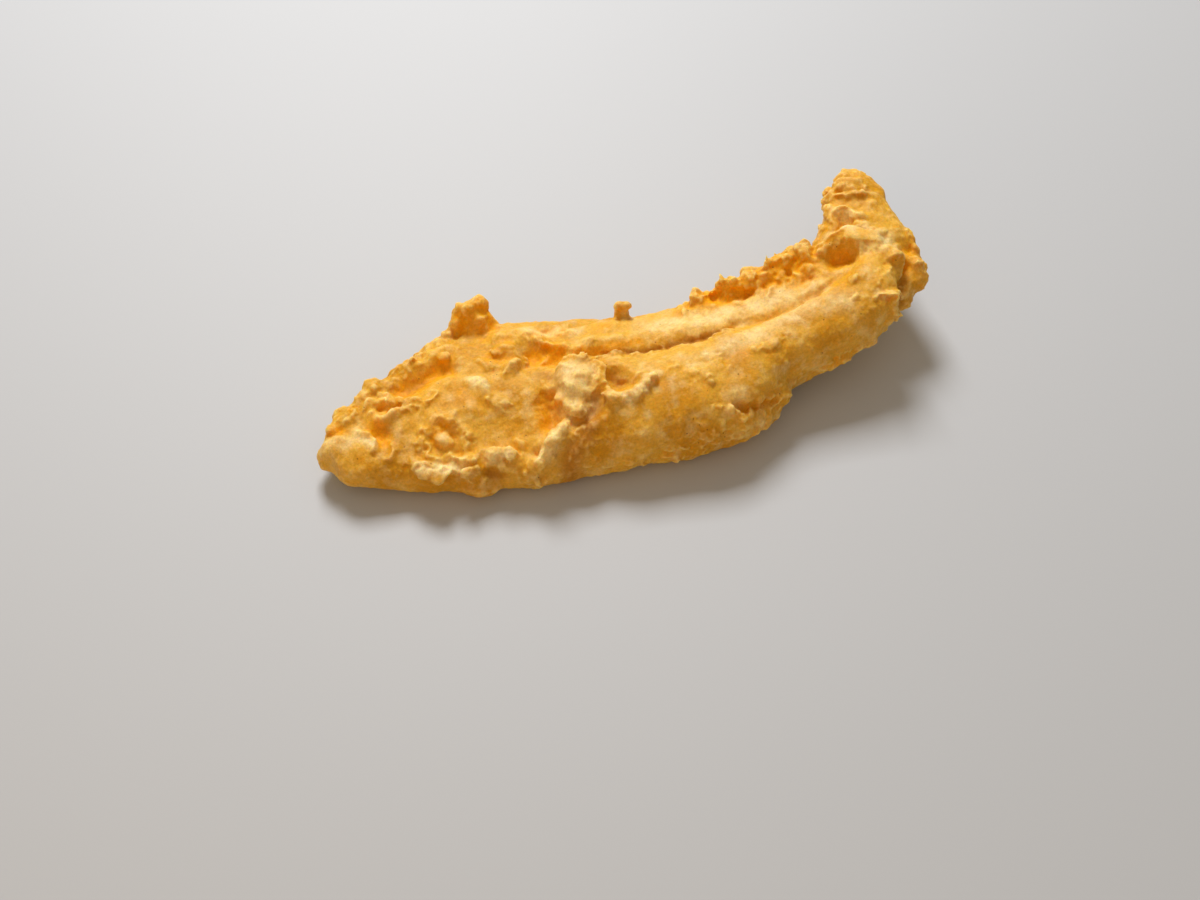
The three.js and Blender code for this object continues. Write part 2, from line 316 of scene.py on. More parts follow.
def makeLumps(places):
    ball, faces = unitBall(lumps["subdivisions"])
    along, across, up = ball.T
    made = []
    for name, (x, y, z, length, width, height, turn) in places.items():
        wave = np.sin(along * 4.1 + x) * np.cos(across * 4.7 + y) + np.sin(up * 5.3 + x + y)
        shape = ball * (1 + lumps["roughness"] * wave)[:, None] * [length, width, height]
        c, s = math.cos(math.radians(turn)), math.sin(math.radians(turn))
        turned = shape @ np.array([[c, s, 0], [-s, c, 0], [0, 0, 1]])
        made.append(makeMesh(name, turned + [x, y, z], faces))
    return made


def joinAll(name, parts):
    for other in bpy.context.selected_objects:
        other.select_set(False)
    for part in parts:
        part.select_set(True)
    bpy.context.view_layer.objects.active = parts[0]
    bpy.ops.object.join()
    parts[0].name = name
    return parts[0]


def bakeModifiers(made):  # the evaluated mesh takes the place of the live one
    evaluated = made.evaluated_get(bpy.context.evaluated_depsgraph_get())
    finished = bpy.data.meshes.new_from_object(evaluated)
    made.modifiers.clear()
    made.data = finished


def fuse(made, voxel):  # one closed skin round everything
    remesh = made.modifiers.new("fuse", "REMESH")
    remesh.mode = "VOXEL"
    remesh.voxel_size = voxel * mm
    remesh.use_smooth_shade = True
    bakeModifiers(made)


def edgeEnds(made):
    ends = np.empty(len(made.data.edges) * 2, np.int64)
    made.data.edges.foreach_get("vertices", ends)
    return ends.reshape(-1, 2)


def averaged(values, ends, rounds):  # in each round a value moves half-way to the mean of its neighbours
    count = len(values)
    degree = np.maximum(1, np.bincount(ends.ravel(), minlength=count)).astype(float)
    a, b = ends.T
    values = values.copy()
    for _ in range(rounds):
        for k in range(values.shape[1]):
            column = values[:, k]
            total = np.bincount(a, column[b], count) + np.bincount(b, column[a], count)
            values[:, k] += 0.5 * (total / degree - column)
    return values


def soften(made, rounds):
    setPoints(made, averaged(meshPoints(made)[0], edgeEnds(made), rounds))


def dropSpecks(made):  # keeps the one large skin, without bits that float free of it
    ends = edgeEnds(made)
    label = np.arange(len(made.data.vertices))
    while True:  # each point takes the lowest label near it until nothing changes
        lowest = np.minimum(label[ends[:, 0]], label[ends[:, 1]])
        spread = label.copy()
        np.minimum.at(spread, ends[:, 0], lowest)
        np.minimum.at(spread, ends[:, 1], lowest)
        spread = spread[spread]
        if (spread == label).all():
            break
        label = spread
    skins, sizes = np.unique(label, return_counts=True)
    loose = np.flatnonzero(label != skins[np.argmax(sizes)])
    shape = bmesh.new()
    shape.from_mesh(made.data)
    shape.verts.ensure_lookup_table()
    bmesh.ops.delete(shape, geom=[shape.verts[k] for k in loose], context="VERTS")
    shape.to_mesh(made.data)
    shape.free()


def storeField(made, name, values):
    field = made.data.attributes.get(name) or made.data.attributes.new(name, "FLOAT", "POINT")
    field.data.foreach_set("value", np.asarray(values, np.float32))


def zoneField(places, usual, strokes):  # later strokes lie over earlier ones
    field = np.full(len(places), float(usual))
    for points, reach, value in strokes:
        field += (value - field) * bell(distanceToPath(places, points), reach)
    return field


# Soft changes of level: points in plan or in space, reach, height (below zero is a hollow).
swells = {
    "seam": (((-9, 9.5), (0, 6.8), (6, 4.2), (12, 1.8), (21, -0.2), (32, -1.2), (41, -2.6),
              (47, -3.4)), 1.6, -2.2),
    "seam to the tail": (((47, -2.5), (56, -4.5), (65, -6), (78, -6.5)), 3, -1.6),
    "strip by the seam": (((-2, 13), (8, 9.5), (16, 6.5), (28, 4.5), (40, 3)), 5, 1.2),
    "lip over the seam": (((-14, 19), (-4, 14), (8, 9.5)), 3.4, 0.8),
    "trough behind the fringe": (((52, 11), (60, 9.5), (70, 8.5), (76, 8)), 4, -1.4),
    "hollow behind the snout": (((-84, 11),), 6, -3.4),
    "gap behind the pillow": (((-99, 21, 15), (-97, 20.5, 16.5)), 3, -1.8),
    "pocket": (((-79, 19.5), (-74.5, 18)), 4, -3.2),
    "long hollow": (((-70, 25), (-64, 26), (-57, 28), (-51, 28)), 7, -3.8),
    "crest above it": (((-68, 35), (-58, 31.5), (-48, 28)), 4, 2),
    "swirl floor": (((-66, -0.5), (-60.5, 0)), 6.5, -0.9),
    "holes at the near edge": (((-55.5, -15.5, 12), (-53, -18, 13), (-51, -20.5, 12)), 3, -3),
    "hollow by the lobes": (((-26, -4.5), (-28, -10)), 7, -4),
    "wide dip": (((-42, -4),), 17, -1.5),
    "hollow over the strip": (((-25, 17.5), (-20, 15.8), (-17, 13.2)), 6.5, -4),
    "patch on the strip": (((-24, 22),), 5, -2.5),
    "far dome": (((-28, 28.5),), 9, 2.2),
    "far swell": (((-52, 34),), 5.6, 2.5),
    "end swell": (((-90, 24),), 6, 2),
    "leaf tail": (((-46.5, 12), (-46, 8), (-44, 4.5), (-40.5, 2)), 4, 1.4),
    "gap by the ridge": (((-36.5, -19.5, 16.5), (-37.5, -21.5, 15.5)), 2.8, -2.4),
    "valley": (((-9, -11), (-14, -16.5)), 4.5, -2),
    "valley floor": (((-17, -19), (-23, -23.5)), 6, 1.8),
    "near slope": (((-78, 0), (-60, -8), (-42, -14)), 15, -2.2),
    "back crest": (((-62, 12), (-46, 9), (-32, 7)), 11, 1),
    "crater": (((-1, -8.5),), 6.6, -5.2),
    "strip dimple 1": (((-13, 26.5),), 5, -1.6),
    "strip dimple 2": (((-3, 25),), 4, -1),
    "strip dimple 3": (((34, 13),), 4.5, -1.2),
    "strip mound 1": (((-20, 29),), 5, 1),
    "strip mound 2": (((8, 20),), 6, 0.9),
    "near crease": (((32.5, -35.5, 22.5), (35, -36.5, 21), (39, -35.5, 19.5), (44, -34.5, 19.5)),
                    3.4, -2.8),
    "bulge": (((22, -20),), 13, 1),
    "brow": (((92, 9.5), (97, 9), (102, 6.5), (108, 3)), 4.6, 2.6),
    "pit": (((92.3, 3.4), (96.2, 2)), 5.4, -4.2),
    "hollow above the brow": (((100.5, 20, 33), (100.5, 16, 33.5), (102, 14.5, 34.5)), 3.6, -2.4),
    "tip corner": (((118.5, 50, 27), (112, 45, 27), (107.5, 38.5, 28)), 7, -4),
    "tail blob": (((104, 18),), 4.5, -2.6),
    "notch under the fold": (((70, -23.5, 7), (74.5, -23.8, 7)), 6, -3),
    "lobe under the fold": (((83, -24.4, 10), (88, -24.6, 11)), 5, 1.2),
    "tail fold": (((105.5, 32.5), (108, 29), (112.5, 26.5), (117, 24.5)), 3, 1.7),
    "tail fold 2": (((108, 37), (112, 34.5), (118, 32.5)), 2.8, 1.3),
    "tail trough 2": (((110, 39), (114, 37), (119, 35.5)), 2.4, -1.2),
    "tail trough": (((107.5, 31.5), (111, 29.5), (114, 28), (119, 26)), 2.6, -1.8),
    "flap hollow": (((117, -2.5, 33.5), (120, -4, 31)), 4.4, -2.6),
    "fissure": (((113.5, -11.5, 32), (111, -14, 31), (108.5, -16, 29.5), (105.5, -18.5, 26)), 3, -4),
    "fringe hollow": (((56, 12.5, 20), (66, 11, 21.5), (74.5, 10, 23.5)), 4, -1),
    "hollow behind the tail wall": (((78, 1.5, 27.5), (81.5, 3, 28.5)), 4, -2.2),
}

waver = {  # how far the edges of the soft changes of level stray: size, amount, seed
    "broad": (7.0, 1.3, 3),
    "fine": (2.8, 0.5, 4),
}


def smoothNoise(places, size, seed):  # three smooth random values about zero for each place
    lattice = np.random.default_rng(seed).uniform(-1, 1, (32, 32, 32, 3))
    cell = np.floor(places / size).astype(int)
    share = smoothStep(places / size - cell, 0, 1)
    total = np.zeros(places.shape)
    for corner in np.ndindex(2, 2, 2):
        weight = np.prod(np.where(corner, share, 1 - share), axis=1)
        total += weight[:, None] * lattice[tuple(((cell + corner) % 32).T)]
    return total


def applySwells(made):  # a path drawn in plan changes the upper side alone
    points, normals = meshPoints(made)
    upper = smoothStep(normals[:, 2], -0.1, 0.35)
    height = np.zeros(len(points))
    strayed = points + sum(far * smoothNoise(points, size, seed) for size, far, seed in waver.values())
    for path, reach, rise in swells.values():
        amount = rise * bell(distanceToPath(strayed, path), reach)
        height += amount * upper if len(path[0]) == 2 else amount
    setPoints(made, points + normals * height[:, None])


# Leaves and curls of batter: points (height given where they sit on a side), height, thickness,
# lean to the right of the path in degrees, and how ragged the edge is.
petals = {
    "snout lip": (((-102.5, 14.5, 16), (-99.5, 16, 16), (-97, 14.5), (-95, 12.5)), 1.3, 2.4, 0, 0.2),
    "snout fold": (((-101, 4, 12.5), (-98, 2, 12), (-95, 1.5, 13), (-93, 3, 14.5)), 0.6, 1.4, 0, 0.3),
    "pillow leaf": (((-92.5, 15), (-90, 14), (-88, 11.5), (-87.5, 7.5), (-89.5, 4.5)), 2.8, 2, 5, 0.5),
    "pit curl": (((-82, 8.5), (-81.5, 5), (-82, 2), (-84, 0.8), (-86.5, 1.5)), 2.1, 1.7, 10, 0.4),
    "long curl": (((-83, 18.5), (-82, 15.5), (-78.5, 14.5), (-75, 15.5), (-72.5, 18)),
                  2.2, 1.9, -20, 0.4),
    "top curl 1": (((-86.5, 21.5), (-84, 24.5), (-81, 24.5), (-79.5, 22)), 2, 1.7, 0, 0.6),
    "top curl 2": (((-84, 19.5), (-80.5, 18.8), (-77, 21)), 1.7, 1.6, 0, 0.6),
    "band leaf 1": (((-80, 24.5), (-76, 22.5), (-72, 19.5), (-68.5, 18), (-65.5, 16)),
                    1.5, 1.8, 10, 0.9),
    "band leaf 2": (((-74, 16), (-70, 15), (-66.5, 13)), 1.2, 1.6, 0, 0.9),
    "hook": (((-66, 15), (-63.5, 13.6), (-61, 14.2), (-59.5, 16.8), (-60.8, 18.8)), 2, 1.6, 0, 0.5),
    "swirl wall": (((-72.5, 1), (-71, 4), (-68, 5.6), (-64.5, 6), (-60.5, 4.6), (-57.6, 1.2),
                    (-56.4, -3), (-57.5, -6.5)), 1.8, 4.2, 0, 1),
    "swirl inner": (((-68, 2.4), (-65, 3.6), (-61.6, 3)), 0.8, 2.4, 0, 0.9),
    "swirl wire": (((-73.2, -1.5), (-72.6, 0.6), (-70.4, 0.6), (-69.8, -1.4), (-72, -3), (-70.5, -5),
                    (-68, -6.6)), 1.7, 1.4, 0, 0.25),
    "near leaf 1": (((-78.5, -6.4), (-75, -8), (-71.5, -9.6), (-68, -10.8), (-64, -11.8)),
                    3, 2.8, 38, 0.9),
    "near leaf 2": (((-54, -14.5), (-51, -13.5), (-48, -14), (-45.8, -16.5), (-46, -20, 16)),
                    3, 2.6, 25, 0.8),
    "near leaf 3": (((-65, -7.2), (-61.5, -9), (-58.5, -11), (-56, -13)), 2, 2.2, 20, 1),
    "near leaf 5": (((-60.5, -13.5), (-60.5, -16.5), (-58.5, -18)), 1.8, 1.6, 0, 0.6),
    "plateau leaf": (((-47.5, 17), (-44.8, 15.2), (-43.4, 11.6), (-43.6, 8.6)), 1.8, 3.4, 0, 0.8),
    "plateau leaf tail": (((-43.5, 7.5), (-41.5, 4), (-39.5, 1)), 0.9, 2.6, 0, 0.9),
    "near arch": (((-50.5, -21.5, 10), (-49.5, -21.5, 13), (-47.5, -22, 13.5), (-45.8, -22.5, 11.5),
                   (-45.8, -23, 8.5)), 1.5, 1.2, 0, 0.2),
    "seam edge": (((-6, 6.6), (0, 5), (6, 2.6), (12, 0.2), (21, -1.8), (32, -2.8), (41, -4.3),
                   (47, -5.2)), 0.9, 1.3, -35, 1),
    "strip crumbs 1": (((-21, 27), (-17, 25.5), (-13.5, 26.5)), 0.9, 2.2, 0, 1),
    "strip crumbs 2": (((-12, 24), (-8, 22.5), (-4, 23)), 0.8, 2, 0, 1),
    "far ridge 3": (((-34, 27), (-30, 24.5), (-27, 22)), 1.2, 3.4, 0, 0.5),
    "far ridge 1": (((-40.5, 25), (-40, 21), (-38.5, 17.5)), 1.4, 3, 0, 0.5),
    "far ridge 2": (((-36, 13), (-33.5, 14.6), (-30.5, 16), (-27.5, 17.4), (-24.5, 17.6)),
                    2.2, 3.6, 10, 0.8),
    "strip lip": (((-21, 26), (-18.5, 22.5), (-15, 19), (-12, 16.5), (-8.5, 14), (-5, 12)),
                  1, 1.4, 55, 0.5),
    "hollow leaf": (((-22, 14.5), (-19, 15.5), (-16.5, 16.5)), 1.6, 1.3, 30, 0.4),
    "knob fold 1": (((-16, -2.5), (-13.5, -2), (-11, -3.5), (-11.5, -6.5)), 1, 1.4, 20, 0.5),
    "knob fold 2": (((-19.5, -1.5), (-18.5, -5), (-16.5, -8)), 1, 1.4, 20, 0.5),
    "knob brow": (((-18.5, 5.5), (-15, 7.5), (-11, 6.5), (-8, 4)), 1.4, 2, 0, 0.8),
    "knob lobe edge": (((-23, 4), (-25.2, 1), (-25, -2), (-22.5, -4.5)), 2, 2, 25, 0.7),
    "knob edge": (((-10, 7), (-6.5, 4.5), (-5.6, 0), (-6.2, -4), (-9, -8), (-12.5, -11)),
                  2.4, 2, -50, 0.9),
    "knob hem": (((-20.5, -8), (-19.5, -12), (-16, -13.5), (-12, -12)), 2.2, 1.8, 60, 0.7),
    "ridge crest": (((-22.5, -14.5), (-25.5, -16.5), (-29, -18), (-32.5, -20, 18), (-35, -21.5, 17),
                     (-38, -22.5, 14.5), (-41, -23.5, 11)), 2.8, 2.6, -10, 0.8),
    "ridge spur": (((-31, -14.5), (-28.5, -15.5), (-25, -16)), 1.8, 1.6, 0, 0.6),
    "near rim leaf 1": (((70, -29, 13), (76, -28.8, 15), (82, -28, 16)), 2.4, 1.8, 60, 0.9),
    "near rim leaf 2": (((84, -27, 17), (90, -26, 18.5), (95, -25, 19)), 2.4, 1.8, 60, 0.9),
    "low flake": (((-43.5, -22.5, 12), (-41, -22.5, 14.5), (-38, -22.5, 15.5)), 1.6, 1.4, 20, 0.6),
    "valley ridge": (((-24.5, -20.5), (-21.5, -19.5), (-18, -19)), 1.1, 1.4, 0, 0.5),
    "crater side": (((-5, 3), (-5.5, -1), (-6, -5), (-6.5, -9)), 1.6, 2, 0, 0.5),
    "crater lip": (((-6.8, -6, 24), (-6.6, -11, 24), (-5.6, -15.5, 24.5), (-3.4, -17.6, 25),
                    (-0.4, -18, 25.5), (2.2, -17, 26.5), (4.4, -15.6, 27)), 3.4, 2.8, 25, 0.9),
    "crater leaf": (((3.4, -17, 27), (6, -15.6, 27), (8.6, -13.6, 27), (12, -13, 27)),
                    3.2, 2.4, 20, 0.8),
    "crater leaf 2": (((4, -12.5), (6.6, -11), (9.2, -11.5)), 1.7, 1.8, 30, 0.8),
    "rim spike 1": (((41, 17.5, 19), (43.5, 17, 19.5)), 3, 1.8, 0, 0.5),
    "rim spike 2": (((46.5, 17, 19.5), (49, 16.5, 20)), 3.4, 2, 0, 0.5),
    "crumb line 1": (((22, -20.5), (25.5, -21), (28, -23.5)), 0.8, 1.4, 0, 0.9),
    "crumb line 2": (((17, -12.5), (19.5, -15)), 0.7, 1.4, 0, 0.9),
    "crumb line 3": (((31, -16.5), (34.5, -16), (36, -18.5)), 0.6, 1.8, 0, 0.9),
    "crack edge": (((48, -18.5), (51.5, -19), (54, -20.3), (57, -19.5), (59.5, -18)),
                   0.9, 1.1, 30, 0.8),
    "thread 1": (((52, -22), (54, -24), (56, -25.5, 25), (57.5, -27, 23)), 0.6, 1, 0, 0.3),
    "thread 2": (((63, -20), (66, -24), (71, -27.5, 20)), 0.6, 1, 0, 0.3),
    "near leaf 4": (((31, -38.5, 14), (35, -38.5, 15), (39, -38, 14.5), (42.5, -37.5, 14)),
                    3.2, 1.7, 70, 0.8),
    "near curl 1": (((41.5, -37, 16), (43.5, -36, 19), (47, -33.5, 18.5), (50.5, -32, 15.5)),
                    2, 1.4, 20, 0.4),
    "near curl 2": (((46, -35.5, 14), (49, -34.5, 15), (52, -32.5, 16)), 2.2, 1.4, 30, 0.5),
    "near clump edge": (((26, -32, 23), (28.5, -33.8, 22.5), (31, -36, 21), (34, -37.2, 19)),
                        1.3, 1.5, 10, 0.8),
    "low crumbs 1": (((20.5, -38.3, 12), (25.5, -38.8, 12), (29.5, -39.5, 12)), 1.2, 1.8, 20, 0.9),
    "low crumbs 2": (((10, -36, 13.5), (12.5, -36.6, 11), (15, -37, 13)), 1, 1.4, 0, 0.8),
    "low crumbs 3": (((18, -34.5, 19.5), (21, -37, 17.5), (24.5, -38, 14.5)), 0.9, 1.4, 0, 0.9),
    "tail fold edge": (((106.5, 31.5), (108, 28.5), (112.5, 26.5), (116.5, 24.5)), 0.9, 1.8, -20, 0.5),
    "tail fold edge 2": (((108, 33.5), (112, 33), (114.5, 30), (117, 27.5)), 0.9, 1.8, -20, 0.6),
    "tail leaf": (((100.6, 16), (101, 19.6), (103, 22.4), (106, 21.8), (107.6, 19), (108.6, 15.6),
                   (111, 13)), 3.4, 2.2, -10, 0.5),
    "brow edge": (((92.6, 9.6), (96.4, 9.4), (99.6, 7.8), (103, 5.4), (106.6, 3)), 3, 4.4, 45, 0.9),
    "brow upper": (((103, 11.5), (107, 9.5), (110, 6.5), (112.5, 3)), 2.2, 3, 20, 1),
    "pit wall": (((102.6, 4), (101.6, 0.8), (100.2, -2)), 2, 2, 0, 0.7),
    "tail leaf near": (((104, -1), (107.5, -1.6), (111, -3), (113.6, -5.5)), 4.4, 2.2, 50, 1),
    "tail leaf low": (((106.5, -7), (110, -7), (113, -8.5), (112.6, -12, 31.5), (110, -15, 30)),
                      2.8, 1.8, 25, 0.8),
    "tail thread": (((99, -15.5), (103.5, -13), (108, -10)), 0.8, 1.2, 0, 0.4),
    "torn end": (((97, -19, 33.5), (99.5, -19.5, 33), (101.5, -20, 31.5), (101, -22, 28),
                  (102.5, -21, 24), (101.5, -20.5, 20)), 3.2, 1.7, 15, 1.1),
    "torn end 2": (((99, -18, 34), (101.5, -18.5, 33), (104, -19, 30), (104.5, -19.5, 26)),
                   2.2, 1.6, 20, 1),
    "torn hook": (((102.5, -20, 18.5), (100.5, -21.5, 17.5), (97.5, -22.5, 17)), 1.9, 1.4, 20, 0.6),
    "speck flake 1": (((87.5, -16.5), (90, -17.5)), 0.9, 1.2, 0, 0.6),
    "speck flake 2": (((90, -10.5), (92.5, -10.3), (95, -10.8)), 1, 1.2, 0, 0.8),
    "tail curl 1": (((91.5, 12), (91, 9.5), (88.5, 8.5)), 1.9, 1.5, 0, 0.6),
    "tail curl 2": (((84.5, 7.5), (87.5, 8.7), (90, 10)), 1.5, 1.5, 0, 0.6),
    "fringe wall": (((50, 16, 21), (55, 16, 22.5), (61, 14.5, 22.5), (66, 14, 25), (72.5, 14.5, 28),
                     (78, 14, 29.5), (81, 13, 30)), 2.2, 1.8, -10, 1.2),
    "fringe rib": (((84.5, 11.5, 31), (84, 8, 29), (82, 2, 29)), 1.7, 1.9, 0, 0.8),
    "fringe shelf": (((62, 11, 21.5), (66, 11.5, 23.5), (71, 11, 24.5), (75, 10, 25.5)),
                     1.2, 2.2, 40, 1),
    "fringe ledge": (((51.5, 13.2, 20.5), (55, 12.3, 20.5), (59.5, 11, 20), (64, 9.5, 20.5)),
                     1.6, 1.8, 60, 0.5),
    "fringe block": (((62, 12.5, 22), (63.5, 15, 23.5), (64.5, 17, 24)), 1.6, 1.8, 0, 0.9),
    "wall rib": (((81.5, 11, 28.5), (79.5, 8.5, 26.5), (78, 4, 26.5), (76.5, 0.5, 27)), 2, 1.7, 0, 0.4),
}

petalMaking = {
    "spacing": 0.5,
    "around": 16,
    "rooting": 1.2,  # how far a leaf reaches below the surface it grows from
    "foot": 2.2,  # times as thick as the middle where it grows from the surface
    "footCurve": 2.5,
    "edge": 0.6,
    "longWave": 4.5,  # the random waves of the path, the top edge and the thickness
    "shortWave": 1.6,
    "unevenWave": 2.4,
    "stray": 1.0,
    "topRoughness": 0.6,
    "unevenness": 0.7,
    "leanStray": 0.5,
    "lowest": 0.25,  # shares of the height and thickness at a torn place and at the ends
    "endHeight": 0.15,
    "endThickness": 0.4,
    "endLength": (2.5, 1.0),  # an end tapers over so many times the height, and so much more
    "castFrom": 70,  # a level above the whole fillet
    "pathDetail": 30,
    "fewestRings": 5,
    "steadying": 6,  # rounds of averaging for the direction a leaf grows in
    "seed": 11,
}


def wander(rng, places, reach):  # smooth random values about zero along a line
    knots = rng.uniform(-1, 1, int(places[-1] / reach) + 3)
    start = (places / reach).astype(int)
    share = smoothStep(places / reach - start, 0, 1)
    return knots[start] * (1 - share) + knots[start + 1] * share


def rootPath(surface, points):  # the points on the surface, straight below or nearest to them
    down = Vector((0, 0, -1))
    return [tuple(surface.find_nearest(Vector(p))[0] if len(p) == 3
                  else surface.ray_cast(Vector((*p, petalMaking["castFrom"])), down)[0]) for p in points]


def makePetal(name, surface, rng, rooted, height, thickness, lean, ragged):  # a leaf that stands up
    look = petalMaking
    traced = curveThrough(rooted, np.linspace(0, 1, look["pathDetail"] * len(rooted)))
    length = evenSteps(traced, 2)[1]
    path = evenSteps(traced, max(look["fewestRings"], int(length / look["spacing"])))[0]
    found = [surface.find_nearest(Vector(p))[:2] for p in path]
    path, normals = np.array([f[0] for f in found]), np.array([f[1] for f in found])
    neighbours = np.array([(i, i + 1) for i in range(len(path) - 1)])
    normals = averaged(normals, neighbours, look["steadying"])
    tangents = np.gradient(path, axis=0)
    tangents /= np.linalg.norm(tangents, axis=1, keepdims=True) + 1e-9
    side = np.cross(tangents, normals)
    side /= np.linalg.norm(side, axis=1, keepdims=True)
    walked = np.linspace(0, length, len(path))
    heights, more = look["endLength"]
    nearEnd = np.minimum(walked, length - walked) / min(length / 2, heights * height + more)
    taper = np.sqrt(1 - (1 - np.minimum(1, nearEnd)) ** 2)
    strayed = ragged * look["stray"] * wander(rng, walked, look["longWave"]) * taper
    path = path + side * strayed[:, None]
    waves = (look["longWave"], look["shortWave"])
    rough = sum(look["topRoughness"] * wander(rng, walked, wave) for wave in waves)
    uneven = 1 + look["unevenness"] * ragged * wander(rng, walked, look["unevenWave"])
    tall = height * (look["endHeight"] + (1 - look["endHeight"]) * taper)
    tall = tall * np.maximum(look["lowest"], 1 + ragged * rough)
    tilt = math.radians(lean) + look["leanStray"] * ragged * wander(rng, walked, look["longWave"])
    grow = np.cos(tilt)[:, None] * normals + np.sin(tilt)[:, None] * side
    across = np.cross(grow, tangents)
    turn = np.linspace(0, 2 * math.pi, look["around"], endpoint=False)
    rings = []
    for base, up, out, high, end in zip(path, grow, across, tall, taper * uneven):
        level = (high + look["rooting"]) * 0.5 * (1 - np.cos(turn)) - look["rooting"]
        share = np.clip(level / high, 0, 1)
        width = look["edge"] + (look["foot"] - look["edge"]) * (1 - share) ** look["footCurve"]
        width *= thickness / 2 * (look["endThickness"] + (1 - look["endThickness"]) * end)
        rings.append(base + np.outer(level, up) + np.outer(width * np.sin(turn), out))
    return closedRings(name, rings, rings[0].mean(axis=0), rings[-1].mean(axis=0))


# How craggy the crust is: points in plan or in space, reach, value from 0, smooth, to 1.
craggyZones = {
    "usual": 0.32,
    "leafReach": 4.5,
    "strokes": [
        (((8, -16), (40, -20), (66, -18)), 22, 0.06),
        (((66, -18), (96, -9)), 18, 0.12),
        (((-8, 29), (20, 14), (45, 9), (60, 5)), 13, 0.28),
        (((-88, -6), (-60, -22)), 9, 0.15),
        (((-45, -3),), 25, 0.27),
        (((-97, 8),), 13, 0.15),
        (((-88, 22), (-80, 30), (-64, 38)), 10, 0.6),
        (((-64, 39), (-50, 43)), 9, 0.75),
        (((-42, 44), (-28, 45)), 9, 0.55),
        (((-98, 22), (-90, 26)), 7, 0.7),
        (((-8, 5), (-16, -8)), 9, 0.12),
        (((-16, -12), (-28, -18), (-42, -23)), 6, 0.7),
        (((-80, -5), (-60, -13), (-44, -17)), 6, 0.7),
        (((-98, 0, 6), (-80, -8, 6), (-62, -16, 5), (-48, -22, 5)), 8, 0.12),
        (((-62, 2),), 9, 0.3),
        (((0, -12),), 11, 0.4),
        (((22, -38, 14), (34, -37, 14), (44, -36, 13), (54, -31, 15)), 9, 0.75),
        (((-32, 28), (-8, 24)), 7, 0.3),
        (((-4, -31, 8), (14, -37, 8)), 8, 0.6),
        (((56, -29, 15), (85, -26, 20), (104, -21, 24)), 7, 0.65),
        (((37, 19), (60, 16), (90, 16)), 8, 0.8),
        (((58, 10), (78, 8)), 5, 0.7),
        (((124, 2, 26), (119, -14, 24), (112, -18, 22)), 12, 0.55),
        (((90, 17), (100, 25), (118, 47)), 8, 0.6),
        (((104, 12), (114, 26), (121, 40)), 13, 0.4),
        (((96, 10), (108, -3)), 9, 0.3),
    ],
}

strayLeaves = {
    "count": 300,
    "length": (4.5, 11.0),
    "height": (0.7, 2.0),
    "thickness": (1.0, 1.7),
    "lean": 45,
    "ragged": 0.65,
    "turn": 26,  # most degrees that the path turns in each of its steps
    "jitter": 10,
    "step": 1.4,
    "least": 0.25,  # no leaves where the crust is smoother than this
    "most": 0.9,
    "facing": (-0.5, 0.2),  # none where the skin faces down, all from where it is about upright
    "fewestSteps": 3,
    "seed": 23,
}


def makeStrayLeaves(fillet, surface):  # many short leaves and curls where the crust is craggy
    look = strayLeaves
    rng = np.random.default_rng(look["seed"])
    points, normals = meshPoints(fillet)
    craggy = zoneField(points, craggyZones["usual"], craggyZones["strokes"])
    weight = smoothStep(craggy, look["least"], look["most"]) * smoothStep(normals[:, 2], *look["facing"])
    starts = rng.choice(len(points), look["count"], replace=False, p=weight / weight.sum())
    made = []
    for k, start in enumerate(starts):
        heading, bend = rng.uniform(0, 360), rng.uniform(-look["turn"], look["turn"])
        place, traced = points[start], []
        for _ in range(max(look["fewestSteps"], int(rng.uniform(*look["length"]) / look["step"]))):
            found, normal = surface.find_nearest(Vector(place))[:2]
            traced.append(tuple(found))
            ahead = Vector((math.cos(math.radians(heading)), math.sin(math.radians(heading)), 0))
            ahead = (ahead - ahead.dot(normal) * normal).normalized()
            place = np.array(found + ahead * look["step"])
            heading += bend + rng.uniform(-look["jitter"], look["jitter"])
        height, thickness = rng.uniform(*look["height"]), rng.uniform(*look["thickness"])
        lean = rng.uniform(-look["lean"], look["lean"])
        name = "stray leaf %d" % k
        made.append(makePetal(name, surface, rng, traced, height, thickness, lean, look["ragged"]))
    return made


# A node with its settings and links: an input takes a value, or a node, a socket or a list of them.
def addNode(tree, kind, inputs=None, **settings):
    node = tree.nodes.new(kind)
    for key, value in settings.items():
        setattr(node, key, value)
    for key, value in (inputs or {}).items():
        if isinstance(key, int):
            socket = node.inputs[key]
        else:
            socket = next(s for s in node.inputs if s.name == key and s.enabled and not s.is_unavailable)
        for source in value if isinstance(value, list) else [value]:
            if isinstance(source, bpy.types.Node):
                source = next(s for s in source.outputs if s.enabled and not s.is_unavailable)
            if isinstance(source, bpy.types.NodeSocket):
                tree.links.new(source, socket)
            else:
                socket.default_value = source
    return node


def newGeometryTree(name, values):  # one named input for each value
    tree = bpy.data.node_groups.new(name, "GeometryNodeTree")
    kinds = {float: "NodeSocketFloat", int: "NodeSocketInt", bpy.types.Material: "NodeSocketMaterial"}
    for direction in ("INPUT", "OUTPUT"):
        tree.interface.new_socket("Geometry", in_out=direction, socket_type="NodeSocketGeometry")
    for label, value in values.items():
        socket = tree.interface.new_socket(label, in_out="INPUT", socket_type=kinds[type(value)])
        if not isinstance(value, bpy.types.Material):
            socket.default_value = value
    return tree, addNode(tree, "NodeGroupInput").outputs


def finishTree(tree, given, geometry):
    whole = addNode(tree, "GeometryNodeRealizeInstances", {"Geometry": geometry})
    painted = addNode(tree, "GeometryNodeSetMaterial", {"Geometry": whole, "Material": given["Material"]})
    addNode(tree, "NodeGroupOutput", {"Geometry": painted})
    return tree


